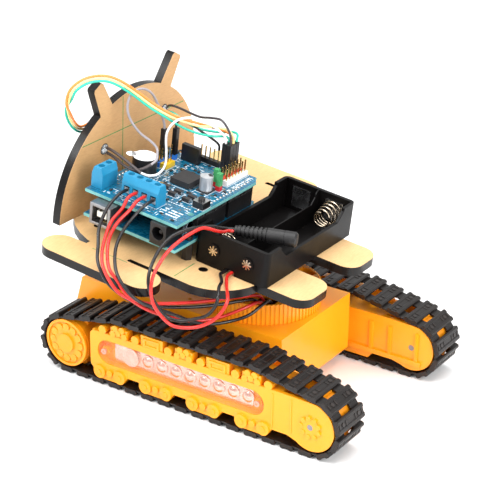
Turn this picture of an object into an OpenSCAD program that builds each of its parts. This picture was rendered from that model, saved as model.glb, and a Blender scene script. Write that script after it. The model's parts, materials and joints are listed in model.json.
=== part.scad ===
// Tracked tank chassis for a small robot.
// Moulded tracked undercarriage with two geared motors, rubber belts, a fixed slew ring,
// a laser-cut deck with a domed front plate, a controller board with a motor shield,
// a two-cell battery holder and all of its loose wiring. Millimetres, +X forward, +Z up.

/* [Tracks] */
// Distance between front and rear wheel axles
wheel_base = 140.8; // [120:0.2:160]
// Height of both wheel axles above the ground
axle_z = 15.6; // [14:0.1:18]
// Half the distance between the two belt centre planes
track_y = 46; // [42:0.5:52]
// Belt width
belt_w = 22; // [16:0.5:28]
// Height that the upper run rises above the wheels
arch_h = 6.4; // [0:0.1:10]
// Number of belt links
links = 38; // [30:1:44]
// Shift of the first link along the belt
belt_phase = 2.4; // [0:0.1:10]

/* [Drive] */
// Gear module
gear_m = 0.7; // [0.5:0.05:1]
// Teeth of each small gear
teeth_small = 10; // [9:1:14]
// Teeth of each large gear
teeth_large = 30; // [24:1:36]
// Drive shaft radius
shaft_r = 1.5; // [1:0.1:2.5]
// Radial play of a shaft in its bearing
play = 0.06; // [0.02:0.01:0.1]

/* [Housing] */
// Half width of the central housing
box_y = 30.6; // [26:0.2:34]
// Height of the top of the housing
box_z = 38.6; // [34:0.2:44]
// Moulded wall thickness
wall = 2; // [1.2:0.1:3]
// Slew ring radius
ring_r = 27.5; // [20:0.5:29]

/* [Deck] */
// Sheet thickness of the deck and the front plate
sheet_t = 4.4; // [3:0.1:6]
// Nose-up tilt of the deck in degrees
deck_tilt = 6.4; // [0:0.1:10]
// Half width of the deck
deck_y = 76; // [60:1:90]
// Radius of the domed front plate
dome_r = 54.2; // [45:0.2:60]

/* [Electronics] */
// Height of the shield's upper face above the deck
shield_z = 23.1; // [20:0.1:28]
// Height of the controller board's upper face above the deck
board_z = 10.4; // [8:0.1:14]
// Board thickness
pcb_t = 1.6; // [1:0.1:2]
// Travel of the reset button
button_travel = 0.25; // [0.1:0.05:0.5]

/* [Hidden] */
$fn = 48;
e = 0.01;
wb = wheel_base / 2;
belt_in = 12.9;
belt_body = 14.7;
belt_out = 15.6;
arch_x = 38;
arch_b = atan(arch_h / (wb - arch_x));
deck_o = [8.7, 0, 69.1];
head_u = 65;
led_at = [[23.4, 30.4], [-23.6, 37]];
button_at = [3.9, 27.3];
brd_u = 0.4;
brd_w = 53.34;
brd_v = 50.9;
brd_l = 68.58;
hold_u = -40.5;
hold_w = 40.4;
hold_v = 35.8;
hold_l = 76.8;
hold_h = 17.6;
ring_x = -8;
ring_z = 49;
face_y = track_y + belt_w / 2;
in_y = track_y - belt_w / 2;
post_x = [-32, 28];
c_gear = gear_m * (teeth_small + teeth_large) / 2;
lay_x = wb - c_gear * cos(12);
lay_z = axle_z + c_gear * sin(12);
mot_x = lay_x - c_gear * cos(6);
mot_z = lay_z + c_gear * sin(6);
yellow = [0.98, 0.75, 0.07];
rubber = [0.13, 0.12, 0.12];
black = [0.08, 0.08, 0.08];
steel = [0.75, 0.76, 0.78];
kraft = [0.86, 0.68, 0.45];
blue = [0.05, 0.33, 0.6];

// ---------- helpers ----------
module at_deck() translate(deck_o) rotate([0, -deck_tilt, 0]) children();
module xz(y1, y0) translate([0, y1, 0]) rotate([90, 0, 0]) linear_extrude(y1 - y0) children();
module yz(x0, x1) translate([x0, 0, 0]) rotate([90, 0, 90]) linear_extrude(x1 - x0) children();
module ybar(x, z, r, y0, y1) translate([x, y0, z]) rotate([-90, 0, 0]) cylinder(r = r, h = y1 - y0);
module box(x0, x1, y0, y1, z0, z1) translate([x0, y0, z0]) cube([x1 - x0, y1 - y0, z1 - z0]);
module mirror_y() { children(); mirror([0, 1, 0]) children(); }
module pill(x0, x1, z, r) {
  translate([x0 + r, z]) circle(r);
  translate([x1 - r, z]) circle(r);
  translate([x0 + r, z - r]) square([x1 - x0 - 2 * r, 2 * r]);
}
module rsq(x0, x1, y0, y1, r) {
  translate([x0 + r, y0]) square([x1 - x0 - 2 * r, y1 - y0]);
  translate([x0, y0 + r]) square([x1 - x0, y1 - y0 - 2 * r]);
  for (x = [x0 + r, x1 - r], y = [y0 + r, y1 - r]) translate([x, y]) circle(r);
}

// ---------- belt ----------
module track_shape(r) {
  translate([wb, axle_z]) circle(r, $fn = 72);
  translate([-wb, axle_z]) circle(r, $fn = 72);
  polygon([[-wb, axle_z - r], [wb, axle_z - r],
    [wb + r * sin(arch_b), axle_z + r * cos(arch_b)],
    [arch_x + r * tan(arch_b / 2), axle_z + arch_h + r],
    [-arch_x - r * tan(arch_b / 2), axle_z + arch_h + r],
    [-wb - r * sin(arch_b), axle_z + r * cos(arch_b)]]);
}
pr = belt_body;
s_bot = wheel_base;
s_arc = pr * (180 - arch_b) * PI / 180;
s_slope = norm([wb + pr * sin(arch_b) - arch_x - pr * tan(arch_b / 2),
  axle_z + pr * cos(arch_b) - (axle_z + arch_h + pr)]);
s_top = 2 * (arch_x + pr * tan(arch_b / 2));
s_all = s_bot + 2 * s_arc + 2 * s_slope + s_top;
function track_pos(s) = let (t = s - s_all * floor(s / s_all), a = t - s_bot, b = a - s_arc,
    c = b - s_slope, d = c - s_top, f = d - s_slope)
  t < s_bot ? [-wb + t, axle_z - pr, 0] :
  a < s_arc ? let (g = -90 + a / pr * 180 / PI) [wb + pr * cos(g), axle_z + pr * sin(g), g + 90] :
  b < s_slope ? [wb + pr * sin(arch_b) - b * cos(arch_b), axle_z + pr * cos(arch_b) + b * sin(arch_b),
    180 - arch_b] :
  c < s_top ? [s_top / 2 - c, axle_z + arch_h + pr, 180] :
  d < s_slope ? [-s_top / 2 - d * cos(arch_b), axle_z + arch_h + pr - d * sin(arch_b), 180 + arch_b] :
  let (g = 90 + arch_b + f / pr * 180 / PI) [-wb + pr * cos(g), axle_z + pr * sin(g), g + 90];
module on_track(s) {
  p = track_pos(s);
  translate([p[0], p[1]]) rotate(p[2]) children();
}
module belt() {
  difference() {
    xz(face_y, in_y) {
      difference() { track_shape(belt_body); track_shape(belt_in); }
      for (i = [0:links - 1]) on_track(belt_phase + i * s_all / links)
        polygon([[-2.9, 0.3], [-2.9, -0.9], [-1.5, -0.9], [-1.3, -0.5], [1.1, -0.5], [1.3, -0.9],
          [2.9, -0.9], [2.9, 0.3]]);
    }
    xz(track_y + 4.1, track_y - 4.1) track_shape(14.25);
    for (i = [0:links - 1]) xz(track_y + 3.9, track_y - 3.9)
      on_track(belt_phase + (i + 0.5) * s_all / links) translate([-1.5, -2]) square([3, 4]);
    // deep gap between neighbouring pads
    xz(face_y + 1, in_y - 1) for (i = [0:links - 1])
      on_track(belt_phase + (i + 0.5) * s_all / links) translate([-1.1, -1]) square([2.2, 1.45]);
  }
}

// ---------- wheels ----------
module tooth_ring(n, a0) for (i = [0:n - 1]) rotate(a0 + i * 360 / n)
  polygon([[11.5, -1.9], [13.2, -1.7], [14, -1.1], [14, 1.1], [13.2, 1.7], [11.5, 1.9]]);
module hub() {
  difference() {
    union() {
      ybar(wb, axle_z, 12.5, in_y + 0.6, face_y - 3);
      ybar(wb, axle_z, 12.3, face_y - 3.1, face_y - 0.8);
      xz(track_y + 3.5, track_y - 3.5) translate([wb, axle_z]) tooth_ring(9, 4);
    }
    ybar(wb, axle_z, 11, face_y - 1.7, face_y);
    ybar(wb, axle_z, shaft_r + 0.02, in_y, face_y - 6);
    for (a = [0:60:300]) translate([wb, 0, axle_z]) rotate([0, a, 0])
      ybar(7.2, 0, 2.4, in_y - 1, in_y + 9);
  }
  ybar(wb, axle_z, 7.6, face_y - 1.9, face_y - 1.1);
  ybar(wb, axle_z, 4.8, face_y - 1.3, face_y);
  // lobed ring round the cap
  for (a = [0:30:330]) translate([wb, 0, axle_z]) rotate([0, a, 0])
    ybar(8.3, 0, 1.9, face_y - 1.9, face_y - 0.9);
}
module idler() difference() {
  union() {
    ybar(-wb, axle_z, 12.2, track_y - 6, track_y + 6);
    ybar(-wb, axle_z, 4, in_y + 3.6, face_y - 2.9);
    xz(track_y + 3.5, track_y - 3.5) translate([-wb, axle_z]) tooth_ring(9, 12);
  }
  ybar(-wb, axle_z, shaft_r + play, in_y, face_y);
  for (a = [0:60:300]) translate([-wb, 0, axle_z]) rotate([0, a, 0])
    ybar(8, 0, 2.3, track_y - 7, track_y + 7);
}

// ---------- gears ----------
function inv_pt(rb, t) = [rb * (cos(t) + t * PI / 180 * sin(t)), rb * (sin(t) - t * PI / 180 * cos(t))];
function turn(p, a) = [p[0] * cos(a) - p[1] * sin(a), p[0] * sin(a) + p[1] * cos(a)];
module gear2d(n, add, ded, thin) {
  rp = gear_m * n / 2;
  rb = rp * cos(20);
  ra = rp + add;
  rr = rp - ded;
  tp = sqrt((rp / rb) * (rp / rb) - 1) * 180 / PI;
  ta = sqrt((ra / rb) * (ra / rb) - 1) * 180 / PI;
  half = 90 / n - thin / rp * 180 / PI / 2 + (tp - atan(tp * PI / 180));
  flank = [for (k = [0:5]) turn(inv_pt(rb, ta * k / 5), -half)];
  root = rr < rb ? [turn([rr, 0], -half)] : [];
  side = concat(root, flank);
  other = [for (k = [len(side) - 1:-1:0]) [side[k][0], -side[k][1]]];
  union() {
    circle(rr + e, $fn = 60);
    for (i = [0:n - 1]) rotate(i * 360 / n) polygon(concat([[0, 0]], side, other));
  }
}
module gear_at(x, z, n, rot, y0, y1, add, ded)
  translate([x, y1, z]) rotate([90, 0, 0]) linear_extrude(y1 - y0) rotate(rot) gear2d(n, add, ded, 0.16);
a1 = 180 - 12;
a2 = 180 - 6;
module shaft() {
  difference() {
    union() {
      gear_at(wb, axle_z, teeth_large, a1, 17, 20, 0.42, 0.85);
      ybar(wb, axle_z, 3, 16, 20.3);
    }
    ybar(wb, axle_z, shaft_r + 0.02, 15, 21);
  }
  ybar(wb, axle_z, shaft_r, 13.8, face_y - 6.2);
}
module lay() difference() {
  union() {
    gear_at(lay_x, lay_z, teeth_large, a2, 22.4, 25.2, 0.42, 0.85);
    gear_at(lay_x, lay_z, teeth_small, a1 + 180 + 180 / teeth_small, 16.6, 20.2, 0.6, 0.95);
    ybar(lay_x, lay_z, 2.3, 20, 22.6);
  }
  ybar(lay_x, lay_z, 1 + play, 16, 26);
}
module pinion() {
  difference() {
    gear_at(mot_x, mot_z, teeth_small, a2 + 180 + 180 / teeth_small, 22.3, 25.3, 0.6, 0.95);
    ybar(mot_x, mot_z, 0.77, 22, 26);
  }
  ybar(mot_x, mot_z, 0.75, 18, 25.8);
}
module motors() mirror_y() {
  difference() {
    union() {
      intersection() {
        ybar(mot_x, mot_z, 7.75, 1.2, 20.2);
        box(mot_x - 9, mot_x + 9, 0, 21, mot_z - 6, mot_z + 6);
      }
      ybar(mot_x, mot_z, 2.6, 20.1, 21.4);
    }
    ybar(mot_x, mot_z, 0.75 + play, 12, 22);
  }
  for (x = [-4, 4]) box(mot_x + x - 0.8, mot_x + x + 0.8, 2.2, 4.2, mot_z + 5.6, mot_z + 8.6);
}
module gearbox() mirror_y() {
  difference() {
    union() {
      box(mot_x - 9.5, 80, 20.6, 21.8, 5, 30);
      box(mot_x + 9.2, 80, 14, 15.2, 5, 30);
    }
    ybar(mot_x, mot_z, 2.65, 20, 22);
    ybar(lay_x, lay_z, 2.9, 20, 22);
    ybar(lay_x, lay_z, 1.02, 13, 16);
    ybar(wb, axle_z, 3.4, 20, 22);
    ybar(wb, axle_z, shaft_r + play, 13, 16);
  }
  ybar(77.6, 27.6, 1.6, 15.2, 20.6);
  ybar(56, 7.6, 1.6, 15.2, 20.6);
}
module pins() mirror_y() {
  ybar(-wb, axle_z, shaft_r, in_y + 1, face_y - 0.2);
  ybar(lay_x, lay_z, 1, 13.9, box_y - 1);
}

// ---------- housing ----------
module box_side(d) polygon([[-38 + d, 9 + d * 0.6], [-33 + d * 0.6, 3 + d], [82 - d * 0.4, 3 + d],
  [84.4 - d, 6 + d * 0.4], [84.4 - d, 24], [80.8 - d, box_z - 2], [-38 + d, box_z - 2]]);
module housing() difference() {
  xz(box_y, -box_y) box_side(0);
  difference() {
    xz(box_y - wall, -box_y + wall) { box_side(wall); translate([-36, 30]) square([114.5, 8]); }
    mirror_y() ybar(lay_x, lay_z, 3.2, box_y - 4.6, box_y);
    for (x = post_x, y = [-25.6, 25.6]) translate([x, y, 4]) cylinder(r = 3.3, h = 40);
  }
  mirror_y() {
    ybar(wb, axle_z, shaft_r + play, box_y - 5, box_y + 1);
    ybar(lay_x, lay_z, 1.02, box_y - 5, box_y - 1);
    box(59, 81.6, 15.6, 21.4, 4.2, 6);
  }
  // screw bores from below
  for (x = post_x, y = [-25.6, 25.6]) translate([x, y, 0]) {
    cylinder(r = 1.06, h = 40);
    cylinder(r = 2.1, h = 26);
  }
}
module cover() difference() {
  union() {
    xz(box_y, -box_y) polygon([[-38, box_z - 2], [80.8, box_z - 2], [80.2, box_z], [-38, box_z]]);
    difference() {
      box(-35.8, 77.8, 1.9 - box_y + 0.2, box_y - 2.1, box_z - 3.4, box_z - 1.9);
      box(-34.2, 76.2, 3.7 - box_y, box_y - 3.7, box_z - 4, box_z - 1.95);
      for (x = post_x, y = [-25.6, 25.6]) translate([x, y, 30]) cylinder(r = 3.5, h = 6.59);
    }
  }
  translate([ring_x, 0, box_z - 5]) cylinder(r = 19, h = 9);
  for (x = post_x, y = [-25.6, 25.6]) translate([x, y, 28]) cylinder(r = 1.02, h = 9.8);
  // drain hole near the front
  translate([21.8, 20.1, 30]) cylinder(r = 0.9, h = 20);
}
module slew_ring() difference() {
  union() {
    translate([ring_x, 0, box_z]) linear_extrude(ring_z - box_z) {
      circle(ring_r - 0.6, $fn = 96);
      for (i = [0:79]) rotate(i * 4.5) translate([ring_r - 1.2, -0.45]) square([1.2, 0.9]);
    }
    translate([ring_x + 4, 0, ring_z - 1]) cylinder(r = 12, h = 20);
    for (a = [45:90:315]) translate([ring_x + 4, 0, 0]) rotate(a)
      translate([11, -1, ring_z - 1]) cube([5, 2, 20]);
  }
  translate([ring_x, 0, box_z - 1]) cylinder(r = ring_r - 3.2, h = ring_z - box_z - 1);
  translate([ring_x + 4, 0, box_z]) cylinder(r = 8, h = 40);
  // wire slots, inside the toothed rim
  intersection() {
    union() {
      box(-26, -15, 12.5, 23.5, ring_z - 5, ring_z + 1);
      box(-24, -15, -23.5, -14, ring_z - 5, ring_z + 1);
    }
    translate([ring_x, 0, ring_z - 6]) cylinder(r = ring_r - 1.3, h = 8);
  }
  at_deck() translate([-60, -50, -sheet_t]) cube([120, 100, 30]);
}

// ---------- track frames ----------
bogie_x = [43, 15.5, -12, -39.5];
cluster_x = [37.4, -0.5, -38.4];
plate_x = [18.2, -19.6];
boss_x = [27.8, 8.4, -10.2, -29.6, -47.6, 47.4];
module frame() {
  difference() {
    union() {
      // outer wall with a rounded rear end
      xz(face_y - 0.6, face_y - 2.6) {
        difference() {
          union() {
            rsq(-62, 55, 7.6, 28, 3);
            translate([-wb, axle_z]) circle(12.2);
            polygon([[-wb, 3.4], [-58, 7.6], [-50, 7.6], [-50, 28], [-wb, 27.8]]);
          }
          pill(-45.4, 50.4, 18.2, 6.3);
        }
      }
      // back of the window recess
      xz(face_y - 4.6, face_y - 6.6) rsq(-48, 53, 9.5, 26.5, 3);
      xz(face_y - 2.5, face_y - 4.7) difference() {
        rsq(-48, 53, 9.5, 26.5, 3);
        pill(-45.4, 50.4, 18.2, 6.3);
      }
      for (x = [46.6, -41.6]) ybar(x, 18.2, 2.2, face_y - 4.8, face_y - 1.92);
      // inner wall
      xz(in_y + 3, in_y + 1) {
        rsq(-62, 55, 6.5, 28, 3);
        translate([-wb, axle_z]) circle(12);
        polygon([[-wb, 3.6], [-58, 6.5], [-50, 6.5], [-50, 28], [-wb, 27.6]]);
      }
      // roof between the walls
      difference() {
        box(-54.6, 54, in_y + 2, face_y - 1.5, 26.2, 28);
        box(-52, -46, track_y - 3, track_y + 3, 25, 29);
      }
      // floor between the walls
      box(-50, 50, in_y + 2, face_y - 2, 7.6, 9.6);
      // ribs on the inner wall and the shelf under them
      for (x = [-48, -58.5, -73.4]) box(x - 1, x + 1, in_y + 0.2, in_y + 1.2, 9, 24);
      box(-76, -36, in_y - 0.2, in_y + 1.2, 6.8, 9.2);
      // bridge to the central housing
      box(-34, 46, box_y, in_y + 2, 9, 25);
      // row along the outer top edge: clusters of bosses, panelled plates and single bosses
      for (x = cluster_x) {
        box(x - 5, x + 5, face_y - 5, face_y - 0.9, 27.5, 32.6);
        for (b = [[-3.4, 29.4], [3.4, 29.4], [-1.9, 32.4], [1.9, 32.4]])
          ybar(x + b[0], b[1], 1.7, face_y - 5, face_y - 0.1);
        ybar(x, 30.6, 1.5, face_y - 1, face_y + 0.2);
      }
      for (x = plate_x) {
        box(x - 6.4, x + 6.4, face_y - 5, face_y - 1.1, 27.5, 33.4);
        difference() {
          box(x - 4.6, x + 4.6, face_y - 1.2, face_y - 0.4, 28.2, 32.4);
          box(x - 3.4, x + 3.4, face_y - 0.9, face_y, 29.2, 31.4);
        }
      }
      for (x = boss_x) ybar(x, 29.6, 2.2, face_y - 5, face_y - 0.5);
      // roller groups under the frame
      for (x = bogie_x) {
        xz(face_y - 0.5, in_y + 1) polygon([[x - 10.4, 10], [x - 10.4, 7.6], [x - 7, 3.1], [x + 7, 3.1],
          [x + 10.4, 7.6], [x + 10.4, 10]]);
        for (s = [-6, 6]) {
          ybar(x + s, 6.9, 3.4, face_y - 1, face_y + 0.6);
          ybar(x + s, 6.9, 1.3, face_y - 1, face_y + 1);
        }
        ybar(x, 7.4, 1.7, face_y - 1, face_y + 0.5);
      }
      // ornament ring round the rear pin
      ybar(-wb, axle_z, 4.6, face_y - 1, face_y - 0.1);
      for (a = [0:40:320]) translate([-wb, 0, axle_z]) rotate([0, a, 0])
        ybar(4.7, 0, 1.1, face_y - 1, face_y + 0.3);
      // seams
      for (x = [-50, -60]) box(x - 0.4, x + 0.4, face_y - 1, face_y - 0.3, 9, 26.4);
    }
    // wheel pocket and pin bore
    box(-90, -55, in_y + 3, face_y - 2.6, 0, 40);
    ybar(-wb, axle_z, shaft_r + 0.02, in_y, face_y + 1);
    // screw bores in the window recess
    for (x = [46.6, -41.6]) ybar(x, 18.2, 0.82, face_y - 6, face_y);
    // hollow between the walls, open to the wheel pocket
    box(-56, 52, in_y + 3, face_y - 6.6, 9.6, 26.2);
  }
}
module windows() mirror_y() difference() {
  xz(face_y - 0.7, face_y - 1.9) pill(-45.2, 50.2, 18.2, 6.1);
  for (x = [46.6, -41.6]) ybar(x, 18.2, 0.9, face_y - 3, face_y);
}
module lamps() mirror_y() {
  xz(face_y - 4, face_y - 4.6) rsq(-37.5, 42.5, 13.2, 23.2, 2);
  for (i = [0:7]) translate([22.8 - i * 8.2, face_y - 4.1, 18.2]) rotate([-90, 0, 0]) {
    cylinder(r = 3.6, h = 0.6);
    intersection() { translate([0, 0, -2]) sphere(r = 3.8); cylinder(r = 3.4, h = 3); }
  }
  ybar(32.2, 18.2, 4.8, face_y - 4.1, face_y - 2.6);
}
module screws() mirror_y() {
  for (x = [46.6, -41.6]) {
    ybar(x, 18.2, 1.5, face_y - 0.7, face_y - 0.1);
    ybar(x, 18.2, 0.8, face_y - 5.8, face_y - 0.6);
  }
  for (x = post_x) translate([x, 25.6, 0]) {
    translate([0, 0, 24.2]) cylinder(r = 2, h = 1.8);
    translate([0, 0, 25.9]) cylinder(r = 1, h = 11.6);
  }
}
module all_screws() { screws(); terminal_screws(); }

// ---------- deck ----------
module deck_outline() {
  difference() {
    union() {
      translate([-10, -56.3]) square([31.2, 112.6]);
      translate([-10, 31.5]) circle(25, $fn = 96);
      translate([-10, -31.5]) circle(25, $fn = 96);
      translate([-35, -31.5]) square([30, 63]);
      polygon([[21, -58], [46.6, -55.6], [54, -52.5], [60.5, -48.2], [67, -41.5], [72, -33], [74, -24],
        [74, 24], [72, 33], [67, 41.5], [60.5, 48.2], [54, 52.5], [46.6, 55.6], [21, 58]]);
      for (s = [-1, 1]) {
        translate([0, s * 67.4]) {
          translate([5.8, 0]) circle(8.6);
          translate([53.4, 0]) circle(8.6);
          translate([5.8, -8.6]) square([47.6, 17.2]);
        }
        translate([21, s > 0 ? 50 : -62]) square([24, 12]);
        translate([0, s > 0 ? 9 : -33.5]) rsq(-61, -20, 0, 24.5, 8);
      }
    }
    translate([-60, -9]) square([22, 18]);
    translate([-38, 0]) circle(9);
    for (s = [-1, 1]) translate([20, s * 57.6]) circle(1.3);
    for (s = [-1, 1]) translate([-12, s * 57.6 - 1.3]) square([32, 2.6]);
  }
}
module deck_holes(d) {
  for (s = [-1, 1]) {
    translate([-9.1, s * 40.2]) circle(2.2 + d);
    translate([52.4, s * 41.5]) circle(1.6 + d);
    translate([head_u - 0.05, s * 26 - 6]) square([sheet_t + 0.1, 12]);
  }
  for (p = board_holes) translate(p) circle(1.6 + d);
}
board_holes = [[brd_u + 2.54, brd_v - 13.97], [brd_u + 50.8, brd_v - 15.24],
  [brd_u + 17.78, brd_v - 66.04], [brd_u + 45.72, brd_v - 66.04]];
module deck_plate() at_deck() translate([0, 0, -sheet_t]) linear_extrude(sheet_t)
  difference() { deck_outline(); deck_holes(0); }
ear = [[26, 42], [28, 49.2], [33.8, 62.2], [33.6, 63.6], [29, 66.2], [27.6, 65.4], [19.6, 52.9], [16, 45]];
module head_outline() difference() {
  union() {
    difference() {
      translate([0, 1.8]) circle(dome_r, $fn = 120);
      translate([-80, -80]) square([160, 80]);
    }
    // both ears and the strip that joins them inside the dome
    polygon(concat(ear, [for (k = [len(ear) - 1:-1:0]) [-ear[k][0], ear[k][1]]]));
    for (s = [-1, 1]) translate([s * 26 - 5.9, -sheet_t]) square([11.8, 6]);
  }
  for (p = led_at) translate(p) circle(2.6);
}
module head_plate() at_deck() yz(head_u, head_u + sheet_t) head_outline();
module films() {
  at_deck() linear_extrude(0.15) intersection() {
    difference() { deck_outline(); deck_holes(0.1); }
    translate([-80, -90]) square([head_u + 80 - 0.2, 180]);
  }
  at_deck() yz(head_u - 0.15, head_u) difference() {
    head_outline();
    translate([-80, -20]) square([160, 20.2]);
    for (p = led_at) translate(p) circle(2.9);
  }
}

// ---------- boards ----------
module board_outline() polygon([[brd_u, brd_v], [brd_u, brd_v - 64.5], [brd_u + 2.5, brd_v - 67],
  [brd_u + 2.5, brd_v - brd_l], [brd_u + 38, brd_v - brd_l], [brd_u + 41, brd_v - 66.04],
  [brd_u + 51.8, brd_v - 66.04], [brd_u + brd_w, brd_v - 64.5], [brd_u + brd_w, brd_v]]);
module main_board() at_deck() translate([0, 0, board_z - pcb_t]) linear_extrude(pcb_t) difference() {
  board_outline();
  for (p = board_holes) translate(p) circle(1.6);
}
module standoffs() at_deck() for (p = board_holes) translate([p[0], p[1], 0]) {
  difference() {
    translate([0, 0, 0.15]) cylinder(r = 2.8, h = board_z - pcb_t - 0.15, $fn = 6);
    cylinder(r = 1.3, h = 12);
  }
  translate([0, 0, -sheet_t]) cylinder(r = 1.25, h = sheet_t + 12);
  translate([0, 0, -sheet_t - 1.8]) cylinder(r = 2.6, h = 1.8);
  translate([0, 0, board_z]) cylinder(r = 2.2, h = 1.7);
}
module usb_socket() at_deck() difference() {
  union() {
    box(brd_u + 33.3, brd_u + 45.3, brd_v - 10, brd_v + 6.2, board_z, board_z + 10.8);
  }
  box(brd_u + 34.9, brd_u + 43.7, brd_v - 8, brd_v + 7, board_z + 1.4, board_z + 9.2);
}
module dc_jack() at_deck() { dc_shell(); dc_core(); }
module dc_shell() difference() {
  box(brd_u + 4.6, brd_u + 13.6, brd_v - 11.6, brd_v + 1.8, board_z, board_z + 10.9);
  translate([brd_u + 9.1, brd_v - 9, board_z + 6]) rotate([-90, 0, 0]) cylinder(r = 3.15, h = 14);
}
hdr_rows = [[2.54, 18.5, 23.4], [2.54, 44, 20.4], [50.8, 18, 26], [50.8, 45, 20.4]];
module main_parts() at_deck() {
  // female header strips that carry the shield
  for (h = hdr_rows) box(brd_u + h[0] - 1.27, brd_u + h[0] + 1.27, brd_v - h[1] - h[2] + 0.2,
    brd_v - h[1], board_z, board_z + 8.5);
  // controller chip, crystal, two capacitors
  box(brd_u + 13, brd_u + 21, brd_v - 62, brd_v - 27, board_z, board_z + 3.6);
  for (y = [15, 22.4]) translate([brd_u + 10.5, brd_v - y, board_z]) cylinder(r = 3.3, h = 5.8);
  box(brd_u + 26, brd_u + 30, brd_v - 30, brd_v - 19, board_z, board_z + 3);
  translate([brd_u + 38, brd_v - 24, board_z]) linear_extrude(1.6) square([7, 7]);
}
module dc_core() translate([brd_u + 9.1, brd_v - 9, board_z + 6]) rotate([-90, 0, 0])
  cylinder(r = 1, h = 8.5);
module shield_board() at_deck() translate([0, 0, shield_z - pcb_t]) linear_extrude(pcb_t) difference() {
  board_outline();
  for (p = board_holes) translate(p) circle(1.6);
}
module shield_parts() at_deck() {
  // plastic strips and pins that plug into the board below
  for (h = hdr_rows) {
    box(brd_u + h[0] - 1.27, brd_u + h[0] + 1.27, brd_v - h[1] - h[2] + 0.2, brd_v - h[1],
      board_z + 8.5, shield_z - pcb_t);
  }
  // capacitor can on its base
  translate([12.4, 11.9, shield_z]) { box(-3.3, 3.3, -3.3, 3.3, 0, 0.8); cylinder(r = 3.15, h = 7.8); }
  // power diodes
  for (p = [[27, 23.3], [20.4, 27.4], [19.6, 23.6], [12.2, 27.6], [11.6, 23.8]])
    translate([p[0] - 2.1, p[1] - 1.1, shield_z]) cube([4.2, 2.2, 1.8]);
  // small parts
  for (p = [[42, 26], [42, 29.5], [36, 24], [36, 27.5], [31, 31], [26, 31], [30, 20.6], [22, 2], [26, 1],
    [15, 19.4], [6, 19.6], [32, 1.4]])
    translate([p[0], p[1], shield_z]) linear_extrude(0.7) square([2.2, 1.3]);
  // body of the reset button
  translate([button_at[0], button_at[1], shield_z]) {
    difference() { box(-3, 3, -3, 3, 0, 3.5); translate([0, 0, 1.5]) cylinder(r = 1.68, h = 3); }
  }
  driver_chip();
}
module button_cap() at_deck() translate([button_at[0], button_at[1], shield_z]) {
  translate([0, 0, 1.5 + button_travel]) cylinder(r = 1.62, h = 4.8 - 1.5 - button_travel);
}
module terminal(n, t) {
  // lead-in blocks in a row along +X, wire openings on the -Y side
  difference() {
    union() {
      box(0, n * t + 0.6, 0, 6.4, 0, 7);
      translate([0, 0, 7]) rotate([90, 0, 90]) linear_extrude(n * t + 0.6)
        polygon([[0, -e], [1.2, 3.4], [5.2, 3.4], [6.4, -e]]);
    }
    for (i = [0:n - 1]) {
      box(0.3 + (i + 0.5) * t - 1.7, 0.3 + (i + 0.5) * t + 1.7, -1, 4.6, 0.9, 5.2);
      translate([0.3 + (i + 0.5) * t, 3.2, 5]) cylinder(r = 1.6, h = 9);
    }
  }
}
module terminals() at_deck() translate([0, 0, shield_z]) {
  translate([38.2, 43.6, 0]) rotate(180) terminal(4, 5.08);
  translate([53.6, 35.4, 0]) rotate(90) terminal(2, 5.4);
}
module terminal_screws() at_deck() translate([0, 0, shield_z]) {
  for (i = [0:3]) translate([38.2 - 0.3 - (i + 0.5) * 5.08, 43.6 - 3.2, 5.4]) cylinder(r = 1.5, h = 3.4);
  for (i = [0:1]) translate([53.6 - 3.2, 35.4 + 0.3 + (i + 0.5) * 5.4, 5.4]) cylinder(r = 1.5, h = 3.4);
}
module buzzer() at_deck() translate([45.1, 17, shield_z]) {
  difference() { cylinder(r = 6, h = 8.6); translate([0, 0, 6]) cylinder(r = 1.2, h = 2.61); }
  translate([0, 0, 8.6]) cylinder(r = 5.6, h = 0.3);
}
module driver_chip() {
  box(18.4, 29.2, 5.8, 17.6, shield_z + 0.2, shield_z + 3.2);
  for (i = [0:7], s = [0, 1]) box(s > 0 ? 29.2 : 16.9, s > 0 ? 30.7 : 18.4,
    6.6 + i * 1.4, 7.2 + i * 1.4, shield_z, shield_z + 0.5);
}
// coloured header blocks: [u, v, size u, size v, height]
blocks = [[38.9, 0.4, 3.7, 7.4, 2.5], [42.75, -6.75, 2.5, 15, 2.5], [46.25, -4.31, 2.5, 7.62, 2.5],
  [7, 5.9, 2.5, 2.5, 2.5], [10.6, 3, 2.5, 2.5, 2.5], [7.6, -16.6, 2.5, 17.8, 2.5],
  [10.3, -16.6, 2.5, 17.8, 2.5], [12.9, -15.1, 5.2, 7.8, 2.5], [22.4, -15.4, 12.7, 2.5, 2.5]];
module header_blocks() at_deck() {
  for (b = blocks) box(b[0], b[0] + b[2], b[1], b[1] + b[3], shield_z, shield_z + b[4]);
  box(31, 41.2, -10, -7.5, shield_z, shield_z + 8.5);
  // shunts pushed over two of the pins
  for (b = [blocks[3], blocks[4]]) difference() {
    box(b[0] + 0.05, b[0] + 2.45, b[1] + 0.05, b[1] + 2.45, shield_z + 2.5, shield_z + 9);
    box(b[0] + 0.85, b[0] + 1.65, b[1] + 0.85, b[1] + 1.65, shield_z + 2, shield_z + 8.55);
  }
}
module header_pins() at_deck() for (b = blocks) {
  nu = max(1, round(b[2] / 2.54));
  nv = max(1, round(b[3] / 2.54));
  for (i = [0:nu - 1], j = [0:nv - 1]) translate([b[0] + (i + 0.5) * b[2] / nu - 0.32,
    b[1] + (j + 0.5) * b[3] / nv - 0.32, shield_z + b[4]]) cube([0.64, 0.64, 6]);
}

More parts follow.
